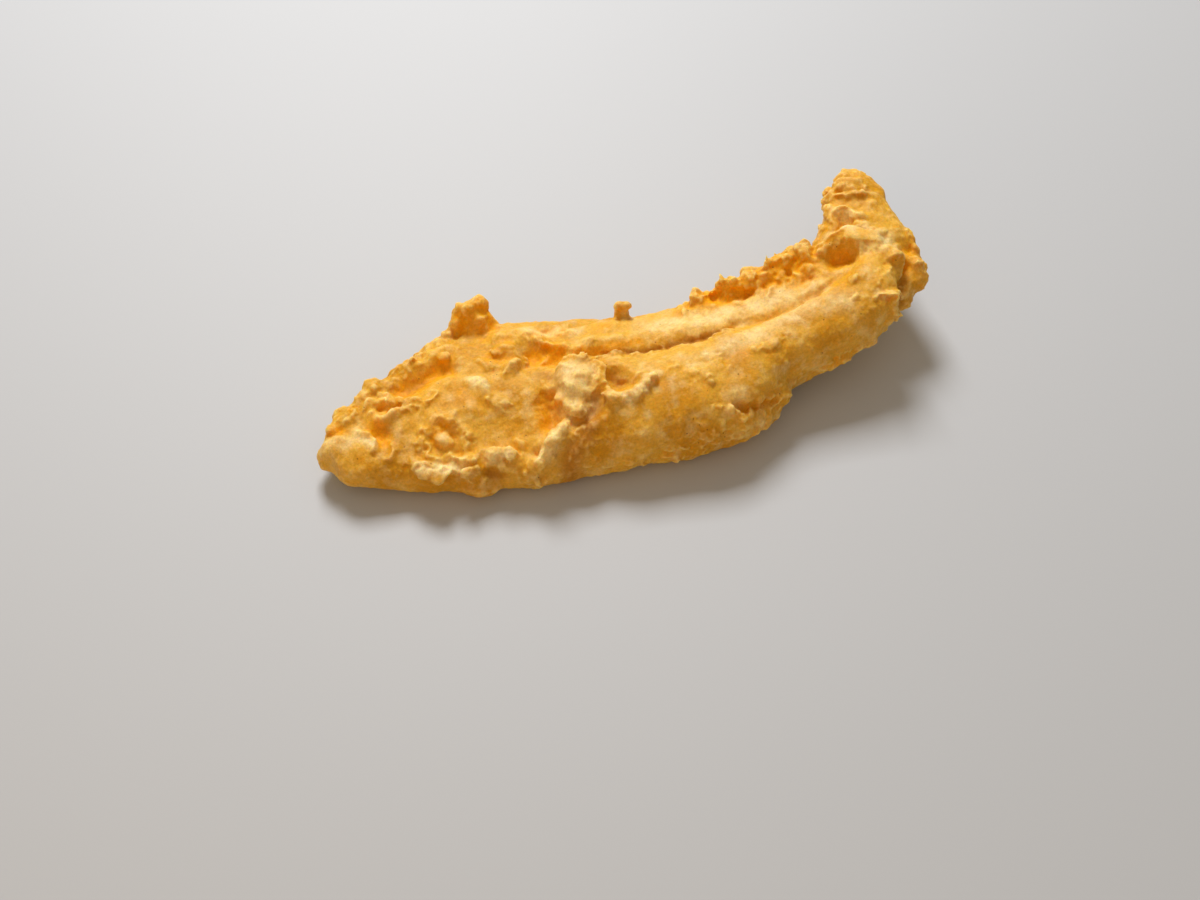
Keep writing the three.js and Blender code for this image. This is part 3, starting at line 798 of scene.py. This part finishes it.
def runTree(made, tree, values):
    modifier = made.modifiers.new(tree.name, "NODES")
    modifier.node_group = tree
    for item in tree.interface.items_tree:
        if item.item_type == "SOCKET" and item.in_out == "INPUT" and item.name in values:
            modifier[item.identifier] = values[item.name]
    bakeModifiers(made)


crumbs = {
    "Spacing": 0.9 * mm,
    "Most": 0.06 / mm**2,  # per square metre where the crust is all craggy
    "Least Craggy": 0.35,  # no crumbs where the crust is smoother than this
    "Smallest": 0.5 * mm,
    "Largest": 1.5 * mm,
    "Tear": 3.8,  # how strongly noise pulls a crumb out of its round shape
    "Sunk": 0.35 * mm,
    "Seed": 5,
}


def crumbTree(values):  # small torn lumps of batter on the craggy places
    tree, given = newGeometryTree("crumbs", values)
    craggy = addNode(tree, "GeometryNodeInputNamedAttribute", {"Name": "craggy"}, data_type="FLOAT")
    share = addNode(tree, "ShaderNodeMapRange", {"Value": craggy, "From Min": given["Least Craggy"]})
    scattered = addNode(tree, "GeometryNodeDistributePointsOnFaces", {
        "Mesh": given["Geometry"], "Distance Min": given["Spacing"], "Density Max": given["Most"],
        "Density Factor": share, "Seed": given["Seed"]}, distribute_method="POISSON")
    position = addNode(tree, "GeometryNodeInputPosition")
    kinds = []
    for shift in (1.3, 4.9, 8.1):  # three kinds of crumb, from three places in the noise
        ball = addNode(tree, "GeometryNodeMeshIcoSphere", {"Radius": 1.0, "Subdivisions": 2})
        place = addNode(tree, "ShaderNodeVectorMath", {0: position, 1: (shift, shift, shift)},
                        operation="ADD")
        noise = addNode(tree, "ShaderNodeTexNoise", {"Vector": place, "Scale": 1.1, "Detail": 1.0})
        about = addNode(tree, "ShaderNodeVectorMath", {0: noise.outputs["Color"], 1: (0.5, 0.5, 0.5)},
                        operation="SUBTRACT")
        pulled = addNode(tree, "ShaderNodeVectorMath", {0: about, "Scale": given["Tear"]},
                         operation="SCALE")
        kinds.append(addNode(tree, "GeometryNodeSetPosition", {"Geometry": ball, "Offset": pulled}))
    turn = addNode(tree, "FunctionNodeRandomValue", {"Max": (6.283, 6.283, 6.283), "Seed": 1},
                   data_type="FLOAT_VECTOR")
    pick = addNode(tree, "FunctionNodeRandomValue", {"Seed": 2}, data_type="FLOAT")
    skewed = addNode(tree, "ShaderNodeMath", {0: pick, 1: 2.0}, operation="POWER")  # most are small
    size = addNode(tree, "ShaderNodeMapRange", {"Value": skewed, "To Min": given["Smallest"],
                                                "To Max": given["Largest"]})
    stretch = addNode(tree, "FunctionNodeRandomValue", {  # flatter than they are wide
        "Min": (0.8, 0.6, 0.25), "Max": (1.7, 1.1, 0.7), "Seed": 3}, data_type="FLOAT_VECTOR")
    scale = addNode(tree, "ShaderNodeVectorMath", {0: stretch, "Scale": size}, operation="SCALE")
    inward = addNode(tree, "ShaderNodeMath", {0: given["Sunk"], 1: -1.0}, operation="MULTIPLY")
    sunk = addNode(tree, "ShaderNodeVectorMath", {0: scattered.outputs["Normal"], "Scale": inward},
                   operation="SCALE")
    placed = addNode(tree, "GeometryNodeInstanceOnPoints", {
        "Points": addNode(tree, "GeometryNodeSetPosition", {"Geometry": scattered, "Offset": sunk}),
        "Instance": addNode(tree, "GeometryNodeGeometryToInstance", {"Geometry": kinds}),
        "Pick Instance": True, "Rotation": turn, "Scale": scale})
    joined = addNode(tree, "GeometryNodeJoinGeometry", {"Geometry": [given["Geometry"], placed]})
    return finishTree(tree, given, joined)


tearing = {
    "Pull": 1.3 * mm,
    "Pull Size": 4.6 * mm,
    "Ridges": 0.7 * mm,
    "Ridge Size": 4.0 * mm,
}


def tearingTree(values):  # pulls the craggy places sideways as well as out, so that edges overhang
    tree, given = newGeometryTree("tearing", values)
    made = {label: given[label] for label in values}
    made["craggy"] = addNode(tree, "GeometryNodeInputNamedAttribute", {"Name": "craggy"},
                             data_type="FLOAT")
    position = addNode(tree, "GeometryNodeInputPosition")
    for name, size, detail in (("pulls", "Pull Size", 3.0), ("ridges", "Ridge Size", 2.0)):
        scale = addNode(tree, "ShaderNodeMath", {0: 1.0, 1: made[size]}, operation="DIVIDE")
        made[name] = addNode(tree, "ShaderNodeTexNoise", {"Vector": position, "Scale": scale,
                                                          "Detail": detail, "Roughness": 0.62})
    for name, operation, a, b in (
            ("strength", "MULTIPLY", "Pull", 3.0), ("strength", "MULTIPLY", "strength", "craggy"),
            ("folded", "SUBTRACT", "ridges", 0.5), ("folded", "ABSOLUTE", "folded", 0.0),
            ("folded", "MULTIPLY", "folded", 5.0), ("ridge", "SUBTRACT", 0.35, "folded"),
            ("ridge", "MULTIPLY", "ridge", "Ridges"), ("ridge", "MULTIPLY", "ridge", "craggy")):
        pair = {0: made.get(a, a), 1: made.get(b, b)}
        made[name] = addNode(tree, "ShaderNodeMath", pair, operation=operation)
    about = addNode(tree, "ShaderNodeVectorMath", {0: made["pulls"].outputs["Color"], 1: (0.5, 0.5, 0.5)},
                    operation="SUBTRACT")
    pull = addNode(tree, "ShaderNodeVectorMath", {0: about, "Scale": made["strength"]}, operation="SCALE")
    normal = addNode(tree, "GeometryNodeInputNormal")
    out = addNode(tree, "ShaderNodeVectorMath", {0: normal, "Scale": made["ridge"]}, operation="SCALE")
    offset = addNode(tree, "ShaderNodeVectorMath", {0: pull, 1: out}, operation="ADD")
    moved = addNode(tree, "GeometryNodeSetPosition", {"Geometry": given["Geometry"], "Offset": offset})
    return finishTree(tree, given, moved)


skinRelief = {
    "Swell": 0.9 * mm,
    "Swell Size": 12.0 * mm,
    "Lumps": 0.8 * mm,
    "Lump Size": 5.5 * mm,
    "Crumple": 0.6 * mm,
    "Crumple Size": 2.4 * mm,
    "Grain": 0.4 * mm,
    "Grain Size": 1.5 * mm,
    "Blisters": 0.2 * mm,
    "Blister Size": 3.2 * mm,
}


def skinTree(values):  # what the oil does to the skin: swells, lumps, grain, fine folds and blisters
    tree, given = newGeometryTree("batterSkin", values)
    made = {label: given[label] for label in values}
    made["craggy"] = addNode(tree, "GeometryNodeInputNamedAttribute", {"Name": "craggy"},
                             data_type="FLOAT")
    position = addNode(tree, "GeometryNodeInputPosition")
    made["height"] = 0.0
    # a wave's height, size, detail and roughness, how much of it a smooth place has, and if it is folded
    for label, size, detail, roughness, smoothShare, folds in (
            ("Swell", "Swell Size", 1.0, 0.5, 1.0, False),
            ("Lumps", "Lump Size", 2.0, 0.5, 0.55, False),
            ("Grain", "Grain Size", 2.0, 0.6, 0.45, False),
            ("Crumple", "Crumple Size", 3.0, 0.55, 0.15, True)):
        shift = (detail, smoothShare, roughness)  # so that no two waves run together
        place = addNode(tree, "ShaderNodeVectorMath", {0: position, 1: shift}, operation="ADD")
        scale = addNode(tree, "ShaderNodeMath", {0: 1.0, 1: made[size]}, operation="DIVIDE")
        made["wave"] = addNode(tree, "ShaderNodeTexNoise", {"Vector": place, "Scale": scale,
                                                            "Detail": detail, "Roughness": roughness})
        shaping = [("wave", "MULTIPLY", "wave", 2.0)]
        if folds:
            shaping = [("wave", "ABSOLUTE", "wave", 0.0), ("wave", "MULTIPLY", "wave", 5.0),
                       ("wave", "SUBTRACT", 0.35, "wave")]
        for name, operation, a, b in (
                ("wave", "SUBTRACT", "wave", 0.5), *shaping, ("share", "ADD", "craggy", smoothShare),
                ("wave", "MULTIPLY", "wave", label), ("wave", "MULTIPLY", "wave", "share"),
                ("height", "ADD", "height", "wave")):
            pair = {0: made.get(a, a), 1: made.get(b, b)}
            made[name] = addNode(tree, "ShaderNodeMath", pair, operation=operation)
    scale = addNode(tree, "ShaderNodeMath", {0: 1.0, 1: made["Blister Size"]}, operation="DIVIDE")
    cells = addNode(tree, "ShaderNodeTexVoronoi", {"Vector": position, "Scale": scale})
    made["dome"] = addNode(tree, "ShaderNodeMapRange", {
        "Value": cells, "From Min": 0.1, "From Max": 0.45, "To Min": 1.0, "To Max": 0.0,
    }, interpolation_type="SMOOTHSTEP")
    made["pick"] = addNode(tree, "ShaderNodeSeparateXYZ", {0: cells.outputs["Color"]})
    for name, operation, a, b in (
            ("few", "GREATER_THAN", "pick", 0.72), ("dome", "MULTIPLY", "dome", "few"),
            ("dome", "MULTIPLY", "dome", "Blisters"), ("height", "ADD", "height", "dome")):
        pair = {0: made.get(a, a), 1: made.get(b, b)}
        made[name] = addNode(tree, "ShaderNodeMath", pair, operation=operation)
    normal = addNode(tree, "GeometryNodeInputNormal")
    offset = addNode(tree, "ShaderNodeVectorMath", {0: normal, "Scale": made["height"]},
                     operation="SCALE")
    moved = addNode(tree, "GeometryNodeSetPosition", {"Geometry": given["Geometry"], "Offset": offset})
    return finishTree(tree, given, moved)


def srgb(code, alpha=1.0):
    channels = [int(code[i:i + 2], 16) / 255 for i in (1, 3, 5)]
    linear = [c / 12.92 if c <= 0.04045 else ((c + 0.055) / 1.055) ** 2.4 for c in channels]
    return (*linear, alpha)


# Where the colour turns, much of it painted shade, glow and highlight: points in plan or in space, reach,
# strength.
colourZones = {
    # amber: painted shade in the hollows, and a painted glow where thin crust on the peak and fringe is
    # lit from behind
    "amberZone": [
        (((-84.5, 14), (-83.5, 8)), 5, 0.9),
        (((-98.5, 20), (-96, 18)), 3, 0.9),
        (((-78, 18),), 4, 0.7),
        (((-69, 25), (-60, 27), (-53, 28)), 6.5, 1.0),
        (((-64, 2),), 8, 0.8),
        (((-26, -3), (-28, -11)), 7, 1.0),
        (((-21, 19), (-14, 15.5)), 6, 1.0),
        (((-38, 43, 20), (-32, 41, 17), (-30, 43, 21)), 9, 1.0),
        (((-29, 27),), 5, 0.6),
        (((-16, 27), (-9, 24)), 5, 1.0),
        (((-24, 32), (-19, 31)), 3.6, 0.6),
        (((22, 15),), 4, 0.4),
        (((33, 13),), 5, 0.6),
        (((6, 20),), 5, 0.5),
        (((-8, 12), (4, 8.5), (14, 5.5)), 2.5, 0.8),
        (((33, -33, 19), (46, -33, 17)), 8, 0.6),
        (((-37, 23), (-31, 20)), 5, 0.5),
        (((-52, 12), (-48, 4)), 5, 0.3),
        (((52, 12, 19), (64, 12, 22), (74, 11, 25), (83, 9, 28)), 8, 1.0),
        (((44, 16, 18), (56, 15, 19)), 6, 0.8),
        (((95.5, 3, 29),), 7, 0.8),
        (((116, -8, 28), (121, -2, 29), (119, -12, 25)), 9, 0.7),
        (((80, 3, 28),), 5, 0.6),
    ],
    # brown: painted shade along the seam and in creases, holes and valleys, and some real browning on the
    # tail
    "brownZone": [
        (((-11.5, -13.5), (-16.5, -18.5), (-21, -22.5), (-28, -27)), 6.5, 0.75),
        (((-8, 9.5), (4, 5), (16, 1), (30, -1), (44, -3)), 1.9, 0.9),
        (((-67, 25.5), (-62, 26.5)), 4, 0.5),
        (((-54, -17, 11), (-51, -20, 11)), 3.5, 0.7),
        (((-24, 7), (-20, 4)), 5, 0.4),
        (((-27, -2), (-28, -11)), 5, 0.35),
        (((118, -10, 26),), 8, 0.35),
        (((111, -14, 29), (106, -19, 24)), 4, 0.6),
        (((-1, -8),), 6, 0.4),
        (((34, -34, 18), (46, -33, 16)), 7, 0.4),
        (((109, 24), (116, 34)), 9, 0.22),
    ],
    # pale: pale crust and flakes, with a painted highlight on the tops that face the light
    "paleZone": [
        (((-14, 0), (-17, -8)), 11, 0.8),
        (((-23, -15.5), (-29, -17.5), (-36, -21.5)), 4, 0.9),
        (((-102, 15), (-96, 13)), 5, 0.6),
        (((-64.5, -1),), 3.5, 0.8),
        (((20, 12), (44, 5), (66, 1), (80, -3)), 8, 0.6),
        (((36, -13), (57, -12), (70, -11), (85, -17)), 6, 0.55),
        (((32, -13),), 3.4, 0.8),
        (((23.3, -16.2),), 3, 0.8),
        (((9.2, -18.7),), 2.4, 0.7),
        (((2.3, -25.3),), 2.4, 0.7),
        (((-20, 30), (-4, 22)), 5, 0.5),
        (((-46, 14),), 5, 0.5),
        (((34, -31, 24),), 7, 0.5),
        (((-77, -7.5, 16), (-71, -10, 16), (-63, -12, 15)), 4.4, 0.9),
        (((-53, -14.5, 16), (-47, -16, 17)), 4, 0.8),
        (((-92, 14.5, 17), (-88, 8, 17)), 3.4, 0.7),
        (((-47, 16.5), (-43.5, 10)), 3.4, 0.8),
        (((-82, 16), (-74, 16.5)), 3, 0.5),
        (((-6, -14, 25), (-1, -18.5, 26), (5, -16.5, 27), (12, -13, 28)), 3.4, 0.9),
        (((96, 15), (104, 9.5), (111, 5)), 3.4, 0.6),
        (((104, 0), (112, 0.5), (114, -3)), 4.4, 0.8),
        (((97, -19, 34), (101.5, -20.5, 30), (102, -20.5, 20)), 3, 0.8),
        (((40, -38, 13),), 5, 0.5),
        (((108, -1),), 5, 0.5),
        (((102, 22.5), (107, 18)), 3.6, 0.6),
        (((66, 17, 27), (72, 17, 31), (84, 15, 33)), 3, 0.5),
    ],
}

batterLook = {
    "golden": "#E9B340",
    "ochre": "#D6981E",
    "pale": "#FCE6A6",
    # the colour of the pale edges, a painted highlight over the crisp crust
    "crispEdgeHighlight": "#FBDC8E",
    # the amber of the painted shade in hollows and of the painted glow of backlit crust
    "shadeAndGlowAmber": "#F4A80C",
    # the brown of the painted shade in seams and creases, and of real browning
    "brown": "#B47012",
    "speck": "#7A4416",
    "grainSize": 0.9 * mm,  # flour is finer, and this is as coarse as it needs to be to show
    "grainBump": 0.4 * mm,
    "mottleSize": 6.0 * mm,
    "cloudSize": 17.0 * mm,
    "speckSpacing": 2.0 * mm,
    "glow": 2.4 * mm,  # how far light spreads in the crust, most of all the red
    "glowColours": (1.0, 0.6, 0.14),
}


# Flour batter set in hot oil: a crisp, dull skin that the oil has soaked, gold with a faint glow inside.
# Its colour also holds painted shade in hollows and creases, a painted glow and painted highlights.
def friedBatterMaterial():
    look = batterLook
    material = bpy.data.materials.new("friedBatter")
    material.use_nodes = True
    tree = material.node_tree
    tree.nodes.clear()
    made = {"place": addNode(tree, "ShaderNodeTexCoord").outputs["Object"]}
    for name in ("hollow", "valley", "craggy", *colourZones):
        made[name] = addNode(tree, "ShaderNodeAttribute", attribute_name=name).outputs["Fac"]
    for name, size, detail, roughness in (("grain", look["grainSize"], 4.0, 0.65),
                                          ("mottle", look["mottleSize"], 4.0, 0.6),
                                          ("cloud", look["cloudSize"], 3.0, 0.55)):
        made[name] = addNode(tree, "ShaderNodeTexNoise", {"Vector": made["place"], "Scale": 1 / size,
                                                          "Detail": detail, "Roughness": roughness})
    cells = {"Vector": made["place"], "Scale": 1 / look["speckSpacing"]}
    made["cell"] = addNode(tree, "ShaderNodeTexVoronoi", cells)
    picked = addNode(tree, "ShaderNodeSeparateXYZ", {0: made["cell"].outputs["Color"]})
    made["pick"] = picked.outputs[1]
    # each line: what is made, from what, the range that is read and the range that it gives
    for name, source, low, high, first, last in (
            ("clouded", "cloud", 0.4, 0.62, 0.0, 1.0),
            ("palePatch", "mottle", 0.5, 0.78, 0.0, 0.5),
            # a painted highlight on edges that stand out, read from the hollow measure, held back where
            # the amber is
            ("paleEdge", "hollow", -0.04, -0.36, 0.0, 0.6),
            ("paleBreak", "mottle", 0.36, 0.6, 0.3, 1.0),
            ("dryPlace", "amberZone", 0.2, 1.0, 1.0, 0.55),
            ("amberPatch", "mottle", 0.44, 0.28, 0.0, 0.5),
            # dip, bay and deepBay are painted shade in the hollows and valleys
            ("dip", "hollow", 0.04, 0.36, 0.0, 0.45),
            ("bay", "valley", 0.4, 1.8, 0.0, 0.5),
            ("deepBay", "valley", 1.4, 3.0, 0.0, 0.4),
            ("brownPatch", "cloud", 0.42, 0.26, 0.0, 0.3),
            ("dot", "cell", 0.1, 0.17, 0.75, 0.0),
            ("fewest", "cloud", 0.4, 0.6, 0.98, 0.88),
            ("shade", "grain", 0.3, 0.7, 0.82, 1.12),
            ("dullness", "craggy", 0.0, 0.6, 0.4, 0.55)):
        made[name] = addNode(tree, "ShaderNodeMapRange", {
            "Value": made[source], "From Min": low, "From Max": high, "To Min": first, "To Max": last})
    for name, operation, a, b in (
            ("palePlace", "MULTIPLY", "paleZone", "paleBreak"),
            ("paleTips", "MULTIPLY", "paleEdge", "dryPlace"),
            # painted shade and glow gather in the amber, painted shade and real browning in the brown,
            # painted highlight in the pale
            ("sunken", "ADD", "dip", "bay"),
            ("sunken", "ADD", "sunken", "amberPatch"),
            ("amberPlace", "ADD", "sunken", "amberZone"),
            ("scorched", "ADD", "brownZone", "deepBay"),
            ("brownPlace", "ADD", "scorched", "brownPatch"),
            ("few", "GREATER_THAN", "pick", "fewest"),
            ("specks", "MULTIPLY", "dot", "few")):
        pair = {0: made[a], 1: made[b]}
        made[name] = addNode(tree, "ShaderNodeMath", pair, operation=operation, use_clamp=True)
    # edges that stand up are painted pale, a painted highlight over the drier crust, and the hollows and
    # creases get painted shade in deeper amber and brown, with a painted glow in the amber
    colour = srgb(look["golden"])
    for code, share in (("ochre", "clouded"), ("pale", "palePatch"), ("shadeAndGlowAmber", "amberPlace"),
                        ("brown", "brownPlace"), ("crispEdgeHighlight", "paleTips"), ("pale", "palePlace"),
                        ("speck", "specks")):
        colour = addNode(tree, "ShaderNodeMix", {
            "Factor": made[share], "A": colour, "B": srgb(look[code])}, data_type="RGBA")
    colour = addNode(tree, "ShaderNodeMix", {"Factor": 1.0, "A": colour, "B": made["shade"]},
                     data_type="RGBA", blend_type="MULTIPLY")
    fine = addNode(tree, "ShaderNodeBump", {"Height": made["grain"], "Strength": 0.6,
                                            "Distance": look["grainBump"]})
    shader = addNode(tree, "ShaderNodeBsdfPrincipled", {
        "Base Color": colour,
        "Roughness": made["dullness"],
        "IOR": 1.45,  # starch and frying oil
        "Specular IOR Level": 0.18,  # the oil has soaked in and leaves little gloss
        "Subsurface Weight": 0.6,
        "Subsurface Scale": look["glow"],
        "Subsurface Radius": look["glowColours"],
        "Normal": fine,
    }, subsurface_method="RANDOM_WALK")
    addNode(tree, "ShaderNodeOutputMaterial", {"Surface": shader})
    return material


crust = {
    "coreVoxel": 0.8,
    "coreSoftening": 3,
    "leafVoxel": 0.5,
    "skinVoxel": 0.42,
    "proud": (1.2, 1.2, 0.4),  # how far a crag may stand out of the frame's box
    "triangles": 192000,
    "nearRounds": 18,  # rounds of averaging, for the fine and the broad measure of how sunken a place is
    "broadRounds": 160,
}


def surfaceOf(made):
    points, _ = meshPoints(made)
    return BVHTree.FromPolygons(points.tolist(), [tuple(p.vertices) for p in made.data.polygons])


def storeCraggy(made, leafPaths):  # a leaf of batter is craggy along its edge
    points, _ = meshPoints(made)
    field = zoneField(points, craggyZones["usual"], craggyZones["strokes"])
    for path, ragged in leafPaths:
        field = np.maximum(field, ragged * bell(distanceToPath(points, path), craggyZones["leafReach"]))
    storeField(made, "craggy", field)


def makeCrust():
    material = friedBatterMaterial()
    fillet = joinAll("batteredFillet", [makeLoft("body", body), makeLoft("fold", fold),
                                        *makeLumps(lumps["places"])])
    fuse(fillet, crust["coreVoxel"])
    soften(fillet, crust["coreSoftening"])
    applySwells(fillet)
    soften(fillet, 1)
    print("main forms joined:", len(fillet.data.vertices), "points")

    surface = surfaceOf(fillet)
    rng = np.random.default_rng(petalMaking["seed"])
    leaves, leafPaths = [], []
    for name, (points, height, thickness, lean, ragged) in petals.items():
        rooted = rootPath(surface, points)
        leaves.append(makePetal(name, surface, rng, rooted, height, thickness, lean, ragged))
        leafPaths.append((rooted, ragged))
    leaves += makeStrayLeaves(fillet, surface)
    joinAll("batteredFillet", [fillet, *leaves, *makeLumps(smallLumps)])
    fuse(fillet, crust["leafVoxel"])
    print("leaves and lumps on:", len(fillet.data.vertices), "points")

    for values, makeTree in ((crumbs, crumbTree), (tearing, tearingTree), (skinRelief, skinTree)):
        storeCraggy(fillet, leafPaths)
        values = {**values, "Material": material}
        runTree(fillet, makeTree(values), values)
        fuse(fillet, crust["skinVoxel"])
    dropSpecks(fillet)
    fillet.data.materials.clear()
    fillet.data.materials.append(material)
    storeCraggy(fillet, leafPaths)
    print("skin shaped:", len(fillet.data.vertices), "points")

    points, normals = meshPoints(fillet)
    low, high = (np.array(corner) / mm + drawingCentre for corner in (cadLow, cadHigh))
    proud = np.array(crust["proud"])
    points = np.clip(points, low - proud * (1, 1, 0), high + proud)
    setPoints(fillet, points)
    ends = edgeEnds(fillet)
    near = averaged(points, ends, crust["nearRounds"])
    broad = averaged(near, ends, crust["broadRounds"])
    # how far each place sinks below or stands out of its neighbours; the material paints shade in the
    # hollows and a highlight on the edges from these
    storeField(fillet, "hollow", np.sum((near - points) * normals, axis=1))
    storeField(fillet, "valley", np.sum((broad - points) * normals, axis=1))
    for name, strokes in colourZones.items():
        storeField(fillet, name, zoneField(points, 0, strokes))
    thin = fillet.modifiers.new("thin", "DECIMATE")
    thin.ratio = min(1, crust["triangles"] / (2 * len(fillet.data.polygons)))
    thin.use_collapse_triangulate = True
    bakeModifiers(fillet)
    print("skin thinned:", len(fillet.data.polygons), "triangles")
    return fillet


fillet = makeCrust()
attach(fillet, "root")
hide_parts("fillet")
print("fillet made")

studio = {
    "tableSize": 6.0,
    "tableColour": "#BDC0C5",
    "tableDullness": 0.6,
    "lookAt": (-18.0, -30.0, 20.0),
    "distance": 573.98,
    "azimuth": -25.0,
    "elevation": 54.8,
    "lens": 50,
    "sensor": 36,
    "lights": {  # power, size, azimuth, elevation, distance, colour
        "key": (13.8, 0.4, 168.0, 48.0, 1.2, "#FFFFFF"),
        "fill": (2.0, 0.9, -50.0, 25.0, 1.0, "#FFCC80"),
    },
    "worldColour": "#FFF1DC",
    "worldStrength": 0.36,
}


def aimed(name, data, azimuth, elevation, distance, target):
    a, e = math.radians(azimuth), math.radians(elevation)
    back = Vector((math.sin(a) * math.cos(e), -math.cos(a) * math.cos(e), math.sin(e)))
    made = bpy.data.objects.new(name, data)
    bpy.context.scene.collection.objects.link(made)
    made.location = target + back * distance
    made.rotation_euler = (-back).to_track_quat("-Z", "Y").to_euler()
    return made


def makeStudio():
    bpy.ops.mesh.primitive_plane_add(size=studio["tableSize"])
    table = bpy.context.object
    table.name = "table"
    material = bpy.data.materials.new("tableTop")
    material.use_nodes = True
    shader = material.node_tree.nodes["Principled BSDF"]
    shader.inputs["Base Color"].default_value = srgb(studio["tableColour"])
    shader.inputs["Roughness"].default_value = studio["tableDullness"]
    table.data.materials.append(material)

    target = Vector((np.array(studio["lookAt"]) - drawingCentre) * mm)
    camera = bpy.data.cameras.new("camera")
    camera.lens, camera.sensor_width = studio["lens"], studio["sensor"]
    bpy.context.scene.camera = aimed("camera", camera, studio["azimuth"], studio["elevation"],
                                     studio["distance"] * mm, target)
    for name, (power, size, azimuth, elevation, distance, colour) in studio["lights"].items():
        light = bpy.data.lights.new(name, "AREA")
        light.energy, light.size, light.color = power, size, srgb(colour)[:3]
        aimed(name, light, azimuth, elevation, distance, Vector((0, 0, 0)))

    world = bpy.data.worlds.new("studio")
    world.use_nodes = True
    background = world.node_tree.nodes["Background"]
    background.inputs["Color"].default_value = srgb(studio["worldColour"])
    background.inputs["Strength"].default_value = studio["worldStrength"]
    bpy.context.scene.world = world
    bpy.context.scene.view_settings.view_transform = "Standard"


makeStudio()
print("studio made")
